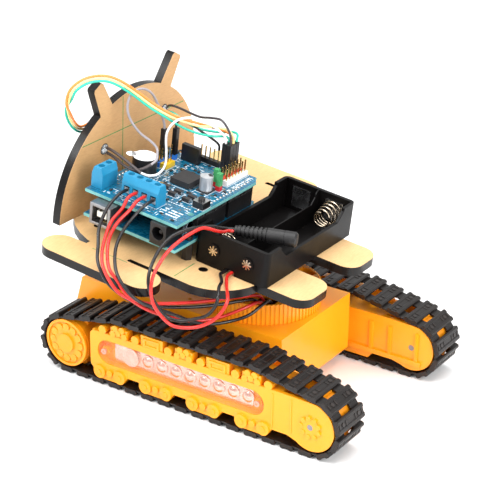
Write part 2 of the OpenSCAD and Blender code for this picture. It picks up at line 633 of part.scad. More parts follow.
// ---------- battery holder ----------
// outline of a low stretch of wall from y0 to y1 at height z, with rounded steps of radius r
module scallop(y0, y1, z, r) difference() {
  polygon([[y0 - 2 * r, z + 2 * r + 20], [y0 - 2 * r, z + 2 * r], [y0 - r, z + 2 * r], [y0 - r, z + r],
    [y0, z + r], [y0, z + r - e], [y0 + r, z], [y1 - r, z], [y1, z + r - e], [y1, z + r],
    [y1 + r, z + r], [y1 + r, z + 2 * r], [y1 + 2 * r, z + 2 * r], [y1 + 2 * r, z + 2 * r + 20]]);
  for (y = [y0 - r, y1 + r]) translate([y, z + r]) circle(r);
}
module battery_holder() at_deck() translate([hold_u, hold_v - hold_l, 0.15]) difference() {
  linear_extrude(hold_h) rsq(0, hold_w, 0, hold_l, 3);
  for (s = [0, 1]) translate([1.6 + s * 18.8, 2, 1.6]) cube([18.2, hold_l - 4, hold_h]);
  // scalloped side walls and divider
  yz(-1, hold_w + 1) scallop(11, hold_l - 11, 11.6, 4.5);
  yz(12, 29) scallop(5, hold_l - 5, 11.2, 3.2);
  // rivet bores
  for (s = [0, 1], y = [-1, hold_l - 3]) translate([10.7 + s * 18.8, y, 9]) rotate([-90, 0, 0])
    cylinder(r = 0.9, h = 4);
  // wire slot
  translate([17.4, hold_l - 3, -1]) cube([5.6, 4, 3.4]);
}
module spring_at(u, v, dir) {
  pts = concat([[u, v, 9.15]], [for (k = [0:44]) let (a = k * 40, r = 5.6 - k * 0.05)
    [u + r * cos(a), v + dir * (0.45 + k * 0.27), 9.15 + r * sin(a)]]);
  tube(pts, 0.42, 1, 6);
}
module battery_contacts() at_deck() {
  c0 = hold_u + 10.7;
  c1 = hold_u + 29.5;
  y0 = hold_v - hold_l;
  for (k = [0, 1]) spring_at(k > 0 ? c1 : c0, k > 0 ? hold_v - 2.42 : y0 + 2.42, k > 0 ? -1 : 1);
  // solder tails that hang in the wire slot
  y1 = hold_v - 2.42;
  box(c0 + 4.9, -20.9, y1, y1 + 0.4, 4, 6);
  box(-22.7, -20.9, y1, y1 + 0.4, 0.8, 4.1);
  box(-19.9, c1 - 4.9, y1, y1 + 0.4, 4, 6);
  box(-19.9, -17.9, y1, y1 + 0.4, 0.8, 4.1);
  for (u = [c0, c1]) {
    for (y = [y0 + 2.02, hold_v - 2.42]) box(u - 5, u + 5, y, y + 0.4, 4, 14.6);
    for (s = [0, 1]) translate([u, s > 0 ? hold_v : y0, 9.15]) rotate([s > 0 ? 90 : -90, 0, 0]) {
      translate([0, 0, -0.5]) cylinder(r = 2.4, h = 0.5);
      cylinder(r = 0.85, h = 2);
    }
  }
}

// ---------- loose wires ----------
function dk(u, v, w) = [deck_o[0] + u * cos(deck_tilt) - w * sin(deck_tilt), v,
  deck_o[2] + u * sin(deck_tilt) + w * cos(deck_tilt)];
function unit(a) = a / norm(a);
function cr(a, b, c, d, t) = 0.5 * (2 * b + (c - a) * t + (2 * a - 5 * b + 4 * c - d) * t * t
  + (3 * b - a - 3 * c + d) * t * t * t);
function smooth(p, n) = concat([for (i = [0:len(p) - 2], k = [0:n - 1])
  cr(i > 0 ? p[i - 1] : 2 * p[0] - p[1], p[i], p[i + 1],
    i < len(p) - 2 ? p[i + 2] : 2 * p[i + 1] - p[i], k / n)], [p[len(p) - 1]]);
function heading(p) = [for (i = [0:len(p) - 1])
  unit(p[min(i + 1, len(p) - 1)] - p[max(i - 1, 0)])];
module tube(points, r, n = 2, sides = 8) {
  p = smooth(points, n);
  t = heading(p);
  m = len(p);
  first = unit(cross(t[0], abs(t[0][2]) < 0.8 ? [0, 0, 1] : [1, 0, 0]));
  a = [for (i = 0, q = first; i < m; i = i + 1, q = i < m ? unit(q - (q * t[i]) * t[i]) : q) q];
  ring = [for (i = [0:m - 1], k = [0:sides - 1]) let (g = k * 360 / sides)
    p[i] + r * (cos(g) * a[i] + sin(g) * cross(t[i], a[i]))];
  polyhedron(ring, concat([[for (k = [0:sides - 1]) k]],
    [[for (k = [sides - 1:-1:0]) (m - 1) * sides + k]],
    [for (i = [0:m - 2], k = [0:sides - 1]) let (b = i * sides, l = (k + 1) % sides)
      [b + k, b + sides + k, b + sides + l, b + l]]), convexity = 10);
}
motor_r = 0.8;
thin_r = 0.6;
sleeve_r = 0.75;
// straight start of each motor wire in its terminal
function lead_in(i) = [dk(35.36 - i * 5.08, 39, 26.1), dk(35.36 - i * 5.08, 42, 26.1),
  dk(35.36 - i * 5.08, 48.6, 25.9)];
ribbon = [for (p = [[76, 31, 40], [75.4, 36, 44.5], [74, 40.5, 50], [73, 43, 54.5], [72, 44.2, 58],
  [71, 44.5, 61.5], [70, 43.8, 65], [68.5, 42, 67.5], [66.8, 39.5, 69.3], [65, 36.5, 70.2],
  [62.5, 33.5, 70.7], [60, 30.5, 70.3], [57.5, 27.8, 69], [55, 25, 67], [52.5, 22.2, 64.5],
  [49.5, 19.2, 61.5], [46.5, 16.5, 58.5], [43.5, 14, 56], [40, 11, 53.4], [36.5, 7.5, 51],
  [32, 3, 48.8], [27.5, -1, 46.8]])
  dk(p[0], p[1], p[2])];
ribbon_face = unit([-0.5, 0.76, 0.42]);
ribbon_turn = [200, 190, 170, 130, 70, 25];
// one strand of the flat ribbon, k strand widths off its middle
function strand(k, n) = [for (i = [0:n - 1])
  let (t = unit(ribbon[min(i + 1, len(ribbon) - 1)] - ribbon[max(i - 1, 0)]),
    s = unit(cross(ribbon_face, t)), q = cross(t, s), g = i < len(ribbon_turn) ? ribbon_turn[i] : 0)
  ribbon[i] + 1.25 * k * (s * cos(g) + q * sin(g))];
motor_a = concat(lead_in(0), [[41, 54.5, 96.8], [40.4, 60, 94.2], [38.8, 67, 88.6], [35.5, 72, 83],
  [32.5, 76.5, 78.5], [29, 78.8, 74.5], [25, 79, 69.5], [20.5, 77, 65], [16.5, 73, 60.5],
  [13, 66, 56.5], [7, 57, 53.5], [0, 47, 51.5], [-7, 38, 51], [-13, 29.5, 51], [-17, 23, 50.5],
  [-17.5, 20, 47], [-14, 17, 42], [-8, 14, 37], [4, 10, 33], [22, 6, 32.5], [40, 5.5, 32.5],
  [45.5, 4.2, 31.5], [46.8, 3.2, 28.6]]);
motor_b = concat(lead_in(1), [[35.5, 54, 94.5], [36, 61, 91], [34.5, 67.5, 86.5], [32, 73.5, 81.5],
  [28.5, 77.8, 77], [23.5, 80, 72.2], [18, 80, 67], [13.5, 77, 63.5], [9.5, 73, 59], [5.5, 67, 54.5],
  [1, 59, 50], [-3.5, 50, 46.5], [-10, 41, 46.5], [-17, 33, 49.5], [-20.5, 26, 51], [-20.8, 21.5, 49],
  [-19, 18, 43.5], [-12, 14, 38], [-4, 10, 33.5], [8, 6, 31.5], [24, 3.2, 31], [36, 3, 31],
  [38.8, 3.2, 28.6]]);
motor_c = concat(lead_in(2), [[31, 54, 95], [33, 61, 90.5], [32.5, 67.5, 85.5], [29.5, 73, 80.5],
  [25, 77.5, 76], [20, 78.4, 72], [14.4, 79, 67], [9, 74.5, 62.4], [4.5, 65.5, 59.5], [-1.5, 54, 57],
  [-7.5, 43, 55.5], [-14, 31, 54.2], [-18, 21, 52], [-18.6, 16.5, 47], [-16, 13.5, 40], [-10, 9, 35],
  [4, 3, 32], [22, -2, 31], [36, -3.2, 31], [38.8, -3.2, 28.6]]);
motor_d = concat(lead_in(3), [[28, 53, 93.5], [29, 61, 88.5], [28, 68, 83.5], [24.5, 74, 79],
  [20, 78, 74.5], [14, 79.5, 69.5], [9.3, 78, 65], [4.5, 72.5, 60.5], [-0.5, 65, 55.5], [-4.5, 57, 50],
  [-9, 49, 46], [-15, 40, 45.5], [-21, 33, 47.5], [-24, 26, 51], [-24, 20, 50.5], [-22.5, 16, 46],
  [-18.5, 11.5, 40], [-12, 5, 35], [2, -3, 32.5], [22, -7, 32.5], [40, -6, 32.5], [45.5, -4.5, 31.5],
  [46.8, -3.2, 28.6]]);
battery_k = [dk(-18.9, 33.8, 1.6), dk(-18.9, 37.5, 1.6), dk(-19.8, 42, 2.6), [-16.5, 48.5, 69.8],
  [-19.5, 55, 70.2], [-22.5, 60, 68.5], [-22.5, 62, 64.5], [-19, 63.5, 59.5], [-13, 65, 56.5],
  [-6.5, 67, 54.5], [-1.5, 69.5, 56], [1.5, 72.5, 61.5], [3, 75.5, 68], [4, 76.3, 74], [5, 73.5, 79.5],
  [5.5, 68, 84.5], [5.5, 63, 87.5], [4.5, 57, 90], [2, 50, 91], [-0.5, 43, 90.5], dk(-8.6, 35, 20.4),
  dk(-8.2, 29.4, 17.6), dk(-9.6, 24.6, 15.8), dk(-12.4, 21.8, 15.4)];
battery_r = [dk(-21.8, 33.8, 1.6), dk(-21.8, 37.5, 1.6), dk(-23.4, 42, 2.2), [-18.8, 48, 67.6],
  [-24.5, 55.5, 68.6], [-27.5, 60, 67.5], [-26.5, 62, 63.5], [-23, 64, 58.5], [-17, 66, 54.5],
  [-11, 68.5, 53], [-5, 71, 53.5], [-1, 74, 58.5], [0.5, 77.5, 65.5], [1, 78.3, 72.5], [1.3, 76, 78.5],
  [0.8, 72, 83], [0, 67, 87], [-1.5, 61, 90], [-3, 54, 91.8], [-4.5, 46, 92.2], dk(-12.4, 37.4, 20.4),
  dk(-12.2, 31.4, 17.6), dk(-11.6, 26.4, 16), dk(-13.6, 23.4, 15.4)];
orange = concat([dk(75.2, 20.9, 40.6), dk(75.3, 24, 40.5), dk(75.4, 27.6, 40.3)], strand(1, 21), [dk(28, -2.2, 48),
  dk(22.2, -8.8, 45.2), dk(18.4, -12.6, 43.2), dk(16.8, -13.8, 41.2), dk(16.8, -13.8, 39.6)]);
amber = concat([dk(75.2, 20.9, 38.1), dk(75.4, 24, 38.2), dk(75.7, 27.6, 38.7)], strand(0, 21), [dk(27.6, -0.8, 47.4),
  dk(22, -6.6, 47), dk(17.4, -10.2, 45.6), dk(14.6, -11.2, 43), dk(14.2, -11.2, 39.6)]);
teal = concat([dk(75.2, 20.9, 35.6), dk(75.5, 24, 35.9), dk(75.9, 27.6, 37)], strand(-1, 19), [dk(34, 5.4, 47),
  dk(28, 0.6, 44.2), dk(22.6, -5.4, 42.4), dk(18.6, -10, 42.2), dk(16.8, -11.2, 41),
  dk(16.8, -11.2, 39.6)]);
teal_b = [dk(62.4, -22.4, 36.4), dk(60.4, -20.5, 38.2), dk(56, -18, 40), dk(51, -16.2, 40.2),
  dk(46, -14.4, 40.2), dk(40, -12.6, 40), dk(34, -12, 40.2), dk(25, -14.6, 40.8), dk(19, -16.4, 42.4),
  dk(15.2, -15.6, 42.6), dk(14.2, -13.8, 39.6)];
white = [dk(39.5, 27.5, 28), dk(37, 24.4, 26.4), dk(35.4, 19.6, 26), dk(36.5, 13.5, 26.6),
  dk(38, 9.8, 28.6), dk(39, 8.6, 33.4), dk(39, 9.6, 39), dk(38, 10.8, 44.2), dk(35.8, 10.8, 49),
  dk(32.6, 9, 52.4), dk(28.6, 5.8, 53.4), dk(25, 1.6, 52.2), dk(21.4, -2.8, 49), dk(18.4, -6.6, 45),
  dk(16.9, -8.4, 42), dk(16.8, -8.6, 39.6)];
grey = [dk(38.5, 21, 30.5), dk(37.8, 18, 32.2), dk(39.4, 15.2, 33.2), dk(42, 12.6, 35.4),
  dk(45, 14, 38.5), dk(49, 17.5, 42.5), dk(52.5, 20.5, 48.5), dk(54, 22, 54.5), dk(54.5, 20.5, 59.5),
  dk(54, 17, 62.3), dk(53, 12, 62.3), dk(51.5, 7.5, 59.5), dk(50.5, 4, 54.5), dk(49, 1.4, 48),
  dk(47.8, -0.2, 42.5), dk(47.5, -0.5, 39.6)];
led_a = [dk(63.4, 23.6, 31.7), dk(60, 24.2, 31.8), dk(53.5, 25.2, 31), dk(46.5, 26.6, 29.8),
  dk(39.5, 27.5, 28)];
led_b = [dk(63.4, 23.4, 29.1), dk(60, 23.4, 28.6), dk(55.5, 24.2, 27.9), dk(51, 25.6, 27.4),
  dk(45, 25.8, 27), dk(40.6, 24.4, 28.8), dk(38.5, 21, 30.5)];
led_far = [dk(62.4, -22.4, 39), dk(60, -20.6, 41.6), dk(56, -18.6, 43.4), dk(50, -17.4, 44),
  dk(43, -15.8, 44.4), dk(36, -13.8, 45.4), dk(28, -10.6, 48.6), dk(21, -9.4, 50), dk(16, -8.8, 46.4),
  dk(14.4, -8.6, 43), dk(14.2, -8.6, 39.6)];
black_e = [dk(44, -5.5, 39.6), dk(44.2, -5.5, 42), dk(42, -6.2, 44), dk(37.5, -7.6, 43.4),
  dk(33, -9.6, 40.6), dk(28, -13, 37), dk(24.4, -14.2, 34.6), dk(23.7, -14.15, 31.7)];

// ---------- plug, sockets, lamps, sensor ----------
plug_a = dk(-13, 22.6, 15.4);
plug_b = dk(-40.5, 11.8, 16.7);
module plug() {
  d = unit(plug_b - plug_a);
  translate(plug_a) multmatrix_to(d) {
    cylinder(r = 2.4, h = 1.2);
    for (i = [0:6]) translate([0, 0, 1.1 + i * 2.05]) {
      cylinder(r = 2.2 + i * 0.1, h = 2.15);
      translate([0, 0, 0.5]) cylinder(r = 2.7 + i * 0.12, h = 1.1);
    }
    // grip with a protective cap over the barrel
    translate([0, 0, 15.4]) cylinder(r = 3.6, h = 8);
    translate([0, 0, 23.3]) cylinder(r = 3.4, h = 0.5);
    translate([0, 0, 23.7]) cylinder(r = 3.65, h = 5);
    translate([0, 0, 28.6]) cylinder(r1 = 3.65, r2 = 2.9, h = 1);
  }
}
module multmatrix_to(d) rotate([0, acos(d[2]), atan2(d[1], d[0])]) children();
socket_up = [[14.2, -8.6], [14.2, -11.2], [14.2, -13.8], [16.8, -8.6], [16.8, -11.2], [16.8, -13.8],
  [47.5, -0.5], [44, -5.5]];
module sockets() at_deck() {
  for (p = socket_up) translate([p[0], p[1], shield_z + 2.5]) difference() {
    box(-1.24, 1.24, -1.24, 1.24, 0, 14);
    box(-0.45, 0.45, -0.45, 0.45, -1, 7);
  }
  for (w = [35.6, 38.1, 40.6]) difference() {
    box(73.96, 76.44, 7, 21, w - 1.2, w + 1.2);
    box(74.75, 75.65, 6, 14, w - 0.45, w + 0.45);
  }
}
module led_sleeves() {
  tube(led_a, sleeve_r);
  tube(led_b, sleeve_r);
}
module leds() at_deck() for (p = led_at) translate([0, p[0], p[1]]) {
  rotate([0, 90, 0]) {
    translate([0, 0, head_u - 0.6]) cylinder(r = 2.5, h = 8.2);
    translate([0, 0, head_u + 7.5]) intersection() {
      translate([0, 0, -1.2]) sphere(r = 2.77);
      cylinder(r = 2.5, h = 3);
    }
    for (k = [-1.3, 1.3]) translate([k, 0, 62.4]) cylinder(r = 0.3, h = 2.1);
  }
}
module sensor() at_deck() {
  box(72.4, 73.9, -16, 16, 31, 45);
  for (y = [-13, -3]) translate([0, y, 34]) rotate([0, 90, 0]) translate([0, 0, head_u + sheet_t])
    cylinder(r = 2, h = 72.4 - head_u - sheet_t);
  for (y = [-12, -5.6]) translate([0, y, 40]) rotate([0, 90, 0]) translate([0, 0, 73.9])
    cylinder(r = 2.5, h = 2.4);
  box(73.9, 75, 2, 4.4, 34.4, 41.8);
  for (w = [35.6, 38.1, 40.6]) box(74.9, 75.5, 3.9, 13, w - 0.3, w + 0.3);
}

color(yellow) housing();
color(yellow) cover();
color(yellow) slew_ring();
color(yellow) frame();  // frame_l
color(yellow) mirror([0, 1, 0]) frame();  // frame_r
color([1, 0.75, 0.68]) windows();
color([0.8, 0.75, 0.72]) lamps();
color(steel) all_screws();  // screws
color(rubber) belt();  // belt_l
color(rubber) mirror([0, 1, 0]) belt();  // belt_r
color(yellow) hub();  // hub_l
color(yellow) mirror([0, 1, 0]) hub();  // hub_r
color(yellow) idler();  // idler_l
color(yellow) mirror([0, 1, 0]) idler();  // idler_r
color(steel) pins();
color(steel) shaft();  // shaft_l
color(steel) mirror([0, 1, 0]) shaft();  // shaft_r
color([0.9, 0.9, 0.86]) lay();  // lay_l
color([0.9, 0.9, 0.86]) mirror([0, 1, 0]) lay();  // lay_r
color([0.9, 0.9, 0.86]) pinion();  // pinion_l
color([0.9, 0.9, 0.86]) mirror([0, 1, 0]) pinion();  // pinion_r
color(steel) motors();
color([0.3, 0.3, 0.3]) gearbox();
color(black) deck_plate();
color(black) head_plate();
color(kraft) films();
color(black) standoffs();
color(blue) main_board();
color(black) main_parts();
color(steel) usb_socket();
color(black) dc_jack();
color(blue) shield_board();
color(black) shield_parts();
color([0.1, 0.5, 0.85]) terminals();
color(black) buzzer();
color(black) button_cap();
color(black) header_blocks();
color([0.85, 0.75, 0.45]) header_pins();
color(black) battery_holder();
color(steel) battery_contacts();
color(black) plug();
color(black) sockets();
color([0.92, 0.94, 0.95]) leds();
color(blue) sensor();
color(black) tube(motor_a, motor_r);  // motor_wire_a
color([0.85, 0.12, 0.1]) tube(motor_b, motor_r);  // motor_wire_b
color([0.85, 0.12, 0.1]) tube(motor_c, motor_r);  // motor_wire_c
color(black) tube(motor_d, motor_r);  // motor_wire_d
color(black) tube(battery_k, motor_r);  // battery_black
color([0.85, 0.12, 0.1]) tube(battery_r, motor_r);  // battery_red
color([0.95, 0.5, 0.2]) tube(orange, thin_r);  // wire_orange
color([0.98, 0.85, 0.5]) tube(amber, thin_r);  // wire_yellow
color([0.1, 0.72, 0.66]) tube(teal, thin_r);  // wire_teal
color([0.1, 0.72, 0.66]) tube(teal_b, thin_r);  // wire_teal_b
color([0.95, 0.95, 0.95]) tube(white, thin_r);  // wire_white
color([0.65, 0.65, 0.65]) tube(grey, thin_r);  // wire_grey
color([0.2, 0.2, 0.2]) tube(led_far, thin_r);  // led_wire_far
color(black) tube(black_e, thin_r);  // wire_black
color([0.25, 0.24, 0.25]) led_sleeves();
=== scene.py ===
import json
import math
import random

import bmesh
import bpy
from mathutils import Matrix, Vector


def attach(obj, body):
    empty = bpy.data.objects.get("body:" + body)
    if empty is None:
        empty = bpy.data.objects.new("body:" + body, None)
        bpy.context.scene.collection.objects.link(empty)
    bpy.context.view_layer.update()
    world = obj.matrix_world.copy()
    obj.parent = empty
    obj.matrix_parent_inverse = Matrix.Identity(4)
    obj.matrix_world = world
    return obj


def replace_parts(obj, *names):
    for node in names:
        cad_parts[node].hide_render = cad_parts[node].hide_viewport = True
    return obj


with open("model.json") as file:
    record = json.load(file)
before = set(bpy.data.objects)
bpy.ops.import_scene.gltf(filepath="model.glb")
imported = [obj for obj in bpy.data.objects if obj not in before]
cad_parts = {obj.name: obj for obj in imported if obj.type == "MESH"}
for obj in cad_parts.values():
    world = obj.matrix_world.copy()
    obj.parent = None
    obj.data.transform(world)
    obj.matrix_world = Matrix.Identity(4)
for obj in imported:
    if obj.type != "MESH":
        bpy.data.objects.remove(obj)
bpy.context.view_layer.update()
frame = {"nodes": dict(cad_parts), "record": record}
MM = 0.001
BODY = {n: b for b, nodes in frame["record"]["behaviour"]["bodies"].items() for n in nodes}
SCENE = bpy.context.scene

# ---------- the deck's own frame: u forward, v left, w up from its top face, in millimetres ----------
DECK_TILT = math.radians(6.4)
DECK_ORIGIN = Vector((8.7, 0.0, 69.1)) * MM
DECK = Matrix.Translation(DECK_ORIGIN) @ Matrix.Rotation(-DECK_TILT, 4, "Y")
DECK_INVERSE = DECK.inverted()


def dk(u, v, w):
    return DECK @ (Vector((u, v, w)) * MM)


def at(x, y, z):
    return Vector((x, y, z)) * MM


# ---------- camera ----------
def make_camera(azimuth, elevation, roll, position, lens):
    a, e, r = math.radians(azimuth), math.radians(elevation), math.radians(roll)
    back = Vector((math.sin(a) * math.cos(e), -math.cos(a) * math.cos(e), math.sin(e)))
    right = (-back).cross(Vector((0, 0, 1))).normalized()
    up = right.cross(-back)
    across = right * math.cos(r) + up * math.sin(r)
    above = up * math.cos(r) - right * math.sin(r)
    data = bpy.data.cameras.new("camera")
    data.lens = lens
    data.sensor_width = 36
    data.clip_start = 0.01
    data.clip_end = 20
    camera = bpy.data.objects.new("camera", data)
    turn = Matrix((across, above, back)).transposed().to_4x4()
    camera.matrix_world = Matrix.Translation(position) @ turn
    SCENE.collection.objects.link(camera)
    SCENE.camera = camera


# solved from the board's and the holder's known sizes
make_camera(azimuth=213.66272, elevation=24.57643, roll=0.68312, position=at(-406.273, 610.996, 398.484),
            lens=120.88)


# ---------- node helpers ----------
def new_material(name):
    m = bpy.data.materials.new(name)
    m.use_nodes = True
    return m, m.node_tree.nodes, m.node_tree.links, m.node_tree.nodes["Principled BSDF"]


def coords(nodes, links, stretch=(1, 1, 1)):
    source = nodes.new("ShaderNodeTexCoord")
    mapping = nodes.new("ShaderNodeMapping")
    mapping.inputs["Scale"].default_value = stretch
    links.new(source.outputs["Object"], mapping.inputs["Vector"])
    return mapping.outputs["Vector"]


def noise(nodes, links, vector, scale, detail=4.0, rough=0.55):
    n = nodes.new("ShaderNodeTexNoise")
    n.inputs["Scale"].default_value = scale
    n.inputs["Detail"].default_value = detail
    n.inputs["Roughness"].default_value = rough
    links.new(vector, n.inputs["Vector"])
    return n.outputs["Fac"]


def ramp(nodes, links, fac, stops):
    r = nodes.new("ShaderNodeValToRGB")
    r.color_ramp.elements[0].position, r.color_ramp.elements[0].color = stops[0][0], (*stops[0][1], 1)
    r.color_ramp.elements[1].position, r.color_ramp.elements[1].color = stops[-1][0], (*stops[-1][1], 1)
    for position, colour in stops[1:-1]:
        r.color_ramp.elements.new(position).color = (*colour, 1)
    links.new(fac, r.inputs["Fac"])
    return r.outputs["Color"]


def spread(nodes, links, fac, low, high):
    m = nodes.new("ShaderNodeMapRange")
    m.inputs["From Min"].default_value = 0.3
    m.inputs["From Max"].default_value = 0.7
    m.inputs["To Min"].default_value = low
    m.inputs["To Max"].default_value = high
    links.new(fac, m.inputs["Value"])
    return m.outputs["Result"]


def mix(nodes, links, fac, a, b, blend="MIX"):
    m = nodes.new("ShaderNodeMix")
    m.data_type = "RGBA"
    m.blend_type = blend
    if isinstance(fac, float):
        m.inputs["Factor"].default_value = fac
    else:
        links.new(fac, m.inputs["Factor"])
    for value, socket in ((a, "A"), (b, "B")):
        target = [s for s in m.inputs if s.name == socket and s.type == "RGBA"][0]
        if isinstance(value, tuple):
            target.default_value = (*value, 1)
        else:
            links.new(value, target)
    return [s for s in m.outputs if s.type == "RGBA"][0]


def add_bump(nodes, links, shader, height, strength, distance):
    b = nodes.new("ShaderNodeBump")
    b.inputs["Strength"].default_value = strength
    b.inputs["Distance"].default_value = distance
    links.new(height, b.inputs["Height"])
    links.new(b.outputs["Normal"], shader.inputs["Normal"])


def linear(r, g, b):
    """Linear light for an sRGB colour given as 0 to 255."""
    return tuple((c / 255 / 12.92) if c <= 10 else ((c / 255 + 0.055) / 1.055) ** 2.4 for c in (r, g, b))


def shade(colour, k):
    return tuple(min(1.0, c * k) for c in colour)


PLASTIC_IOR = 1.5


def surface(name, colour, rough, variation=0.1, patch=70, grain=900, bump=0.06, metallic=0.0, coat=0.0,
            stretch=(1, 1, 1), rough_span=0.08, transmission=0.0, specular=0.5, alpha=1.0):
    """A base material: patchy colour, a fine grain in the bump and an uneven gloss."""
    m, nodes, links, shader = new_material(name)
    vector = coords(nodes, links, stretch)
    large = noise(nodes, links, vector, patch)
    fine = noise(nodes, links, vector, grain, 6.0, 0.65)
    base = ramp(nodes, links, large, [(0.3, shade(colour, 1 - variation)), (0.5, colour),
                                      (0.7, shade(colour, 1 + variation))])
    tone = ramp(nodes, links, fine, [(0.35, shade((1, 1, 1), 1 - variation * 0.7)), (0.65, (1, 1, 1))])
    links.new(mix(nodes, links, 1.0, base, tone, "MULTIPLY"), shader.inputs["Base Color"])
    links.new(spread(nodes, links, large, rough - rough_span, rough + rough_span), shader.inputs["Roughness"])
    if bump:
        add_bump(nodes, links, shader, fine, bump, 0.3 * MM)
    shader.inputs["Metallic"].default_value = metallic
    shader.inputs["Coat Weight"].default_value = coat
    shader.inputs["Transmission Weight"].default_value = transmission
    shader.inputs["IOR"].default_value = PLASTIC_IOR
    shader.inputs["Specular IOR Level"].default_value = specular
    shader.inputs["Alpha"].default_value = alpha
    return m


MATERIALS = {
    "yellow": surface("yellow_plastic", linear(253, 161, 14), 0.38, 0.05, 40, 1500, 0.05, coat=0.15),
    "yellow_wheel": surface("yellow_wheel", linear(252, 157, 14), 0.4, 0.06, 60, 1400, 0.06, coat=0.12),
    "rubber": surface("belt_rubber", linear(26, 21, 19), 0.38, 0.3, 90, 1300, 0.16, rough_span=0.1,
                      specular=0.4),
    "rubber_studs": surface("belt_rubber_studs", linear(38, 31, 28), 0.42, 0.25, 220, 1600, 0.2),
    "window": surface("pink_window", linear(255, 168, 136), 0.08, 0.03, 30, 600, 0.015,
                      rough_span=0.03, alpha=0.1),
    "chrome": surface("lamp_chrome", linear(226, 206, 196), 0.16, 0.12, 260, 900, 0.03, metallic=1.0),
    "lamp_back": surface("lamp_back", linear(214, 142, 108), 0.45, 0.15, 120, 900, 0.08),
    "steel": surface("steel", linear(196, 197, 200), 0.26, 0.12, 200, 1400, 0.05, metallic=1.0),
    "steel_dull": surface("steel_dull", linear(150, 150, 152), 0.4, 0.2, 150, 1400, 0.08, metallic=1.0),
    "white_gear": surface("white_gear", linear(232, 230, 220), 0.45, 0.05, 120, 1200, 0.05),
    "gearbox": surface("gearbox_plastic", linear(52, 52, 55), 0.5, 0.15, 90, 1200, 0.1),
    "black_edge": surface("black_sheet_edge", linear(14, 11, 10), 0.3, 0.3, 130, 900, 0.05,
                          stretch=(1, 1, 0.25), rough_span=0.08, specular=0.3),
    "nylon": surface("nylon_white", linear(226, 226, 218), 0.42, 0.05, 150, 1200, 0.05),
    "black_plastic": surface("black_plastic", linear(24, 23, 24), 0.34, 0.25, 110, 1500, 0.08),
    "holder": surface("holder_plastic", linear(12, 10, 10), 0.4, 0.25, 60, 1100, 0.05, specular=0.16),
    "chip": surface("chip_resin", linear(42, 40, 41), 0.48, 0.2, 200, 2200, 0.12),
    "terminal": surface("terminal_blue", linear(26, 132, 174), 0.42, 0.08, 150, 1400, 0.05),
    # near-black blue for the terminal screws' cross recesses: painted shade
    "recess_shade": surface("screw_recess_shade", linear(18, 40, 62), 0.6, 0.2, 200, 1400, 0.1),
    "gold": surface("gold_pins", linear(216, 184, 120), 0.24, 0.12, 400, 1500, 0.03, metallic=1.0),
    "led": surface("led_clear", linear(236, 240, 244), 0.05, 0.02, 60, 400, 0.01, transmission=0.85,
                   rough_span=0.02),
    "plug": surface("plug_rubber", linear(22, 21, 22), 0.42, 0.25, 150, 1600, 0.12),
    "cap_red": surface("block_red", linear(196, 36, 40), 0.35, 0.08, 200, 1500, 0.05),
    "cap_green": surface("block_green", linear(64, 150, 92), 0.35, 0.08, 200, 1500, 0.05),
    "cap_yellow": surface("block_yellow", linear(226, 188, 40), 0.35, 0.08, 200, 1500, 0.05),
    "cap_white": surface("block_white", linear(232, 232, 230), 0.35, 0.05, 200, 1500, 0.05),
    "cap_blue": surface("block_blue", linear(40, 110, 200), 0.35, 0.08, 200, 1500, 0.05),
    "silk": surface("silkscreen", linear(226, 234, 240), 0.5, 0.1, 500, 3000, 0.04),
    "solder": surface("solder", linear(186, 188, 190), 0.3, 0.2, 500, 3000, 0.06, metallic=1.0),
    "green_line": surface("guide_line", linear(50, 140, 72), 0.6, 0.2, 300, 2000, 0.04),
    "label": surface("buzzer_label", linear(240, 240, 242), 0.5, 0.04, 150, 1600, 0.04),
    "dark_stripe": surface("can_stripe", linear(40, 42, 48), 0.35, 0.1, 200, 1600, 0.04),
    "aluminium": surface("can_aluminium", linear(196, 198, 202), 0.42, 0.1, 200, 1400, 0.05, metallic=0.7),
    "screw_pink": surface("window_screw", linear(226, 168, 150), 0.4, 0.15, 200, 1400, 0.05, metallic=0.3),
    "spring": surface("spring_wire", linear(206, 190, 168), 0.24, 0.12, 300, 1400, 0.04, metallic=1.0),
    "sleeve": surface("sleeve_dark", linear(74, 66, 66), 0.5, 0.2, 200, 1500, 0.1),
    "wire_black": surface("wire_black", linear(26, 24, 25), 0.3, 0.25, 200, 2200, 0.06),
    "wire_red": surface("wire_red", linear(206, 40, 34), 0.3, 0.12, 200, 2200, 0.06),
    "wire_orange": surface("wire_orange", linear(244, 140, 62), 0.36, 0.08, 200, 2200, 0.05),
    "wire_yellow": surface("wire_yellow", linear(248, 222, 150), 0.36, 0.06, 200, 2200, 0.05),
    "wire_teal": surface("wire_teal", linear(42, 186, 160), 0.36, 0.08, 200, 2200, 0.05),
    "wire_white": surface("wire_white", linear(240, 240, 240), 0.34, 0.04, 200, 2200, 0.05),
    "wire_grey": surface("wire_grey", linear(158, 152, 156), 0.34, 0.08, 200, 2200, 0.05),
    "wire_dark": surface("wire_dark", linear(60, 56, 60), 0.34, 0.15, 200, 2200, 0.05),
}


def kraft(name, light, dark):
    """Protective paper film: long soft fibres, small flecks and a few faint stains."""
    m, nodes, links, shader = new_material(name)
    along = coords(nodes, links, (1, 0.16, 1))
    plain = coords(nodes, links)
    fibre = noise(nodes, links, along, 1700, 5.0, 0.7)
    patch = noise(nodes, links, plain, 28, 3.0)
    fleck = noise(nodes, links, plain, 2600, 2.0, 0.5)
    base = ramp(nodes, links, patch, [(0.3, dark), (0.7, light)])
    fibres = ramp(nodes, links, fibre, [(0.3, (0.86, 0.84, 0.8)), (0.6, (1, 1, 1))])
    flecks = ramp(nodes, links, fleck, [(0.27, (0.62, 0.52, 0.4)), (0.33, (1, 1, 1))])
    first = mix(nodes, links, 1.0, base, fibres, "MULTIPLY")
    links.new(mix(nodes, links, 0.55, first, flecks, "MULTIPLY"), shader.inputs["Base Color"])
    links.new(spread(nodes, links, patch, 0.5, 0.66), shader.inputs["Roughness"])
    add_bump(nodes, links, shader, fibre, 0.12, 0.2 * MM)
    return m


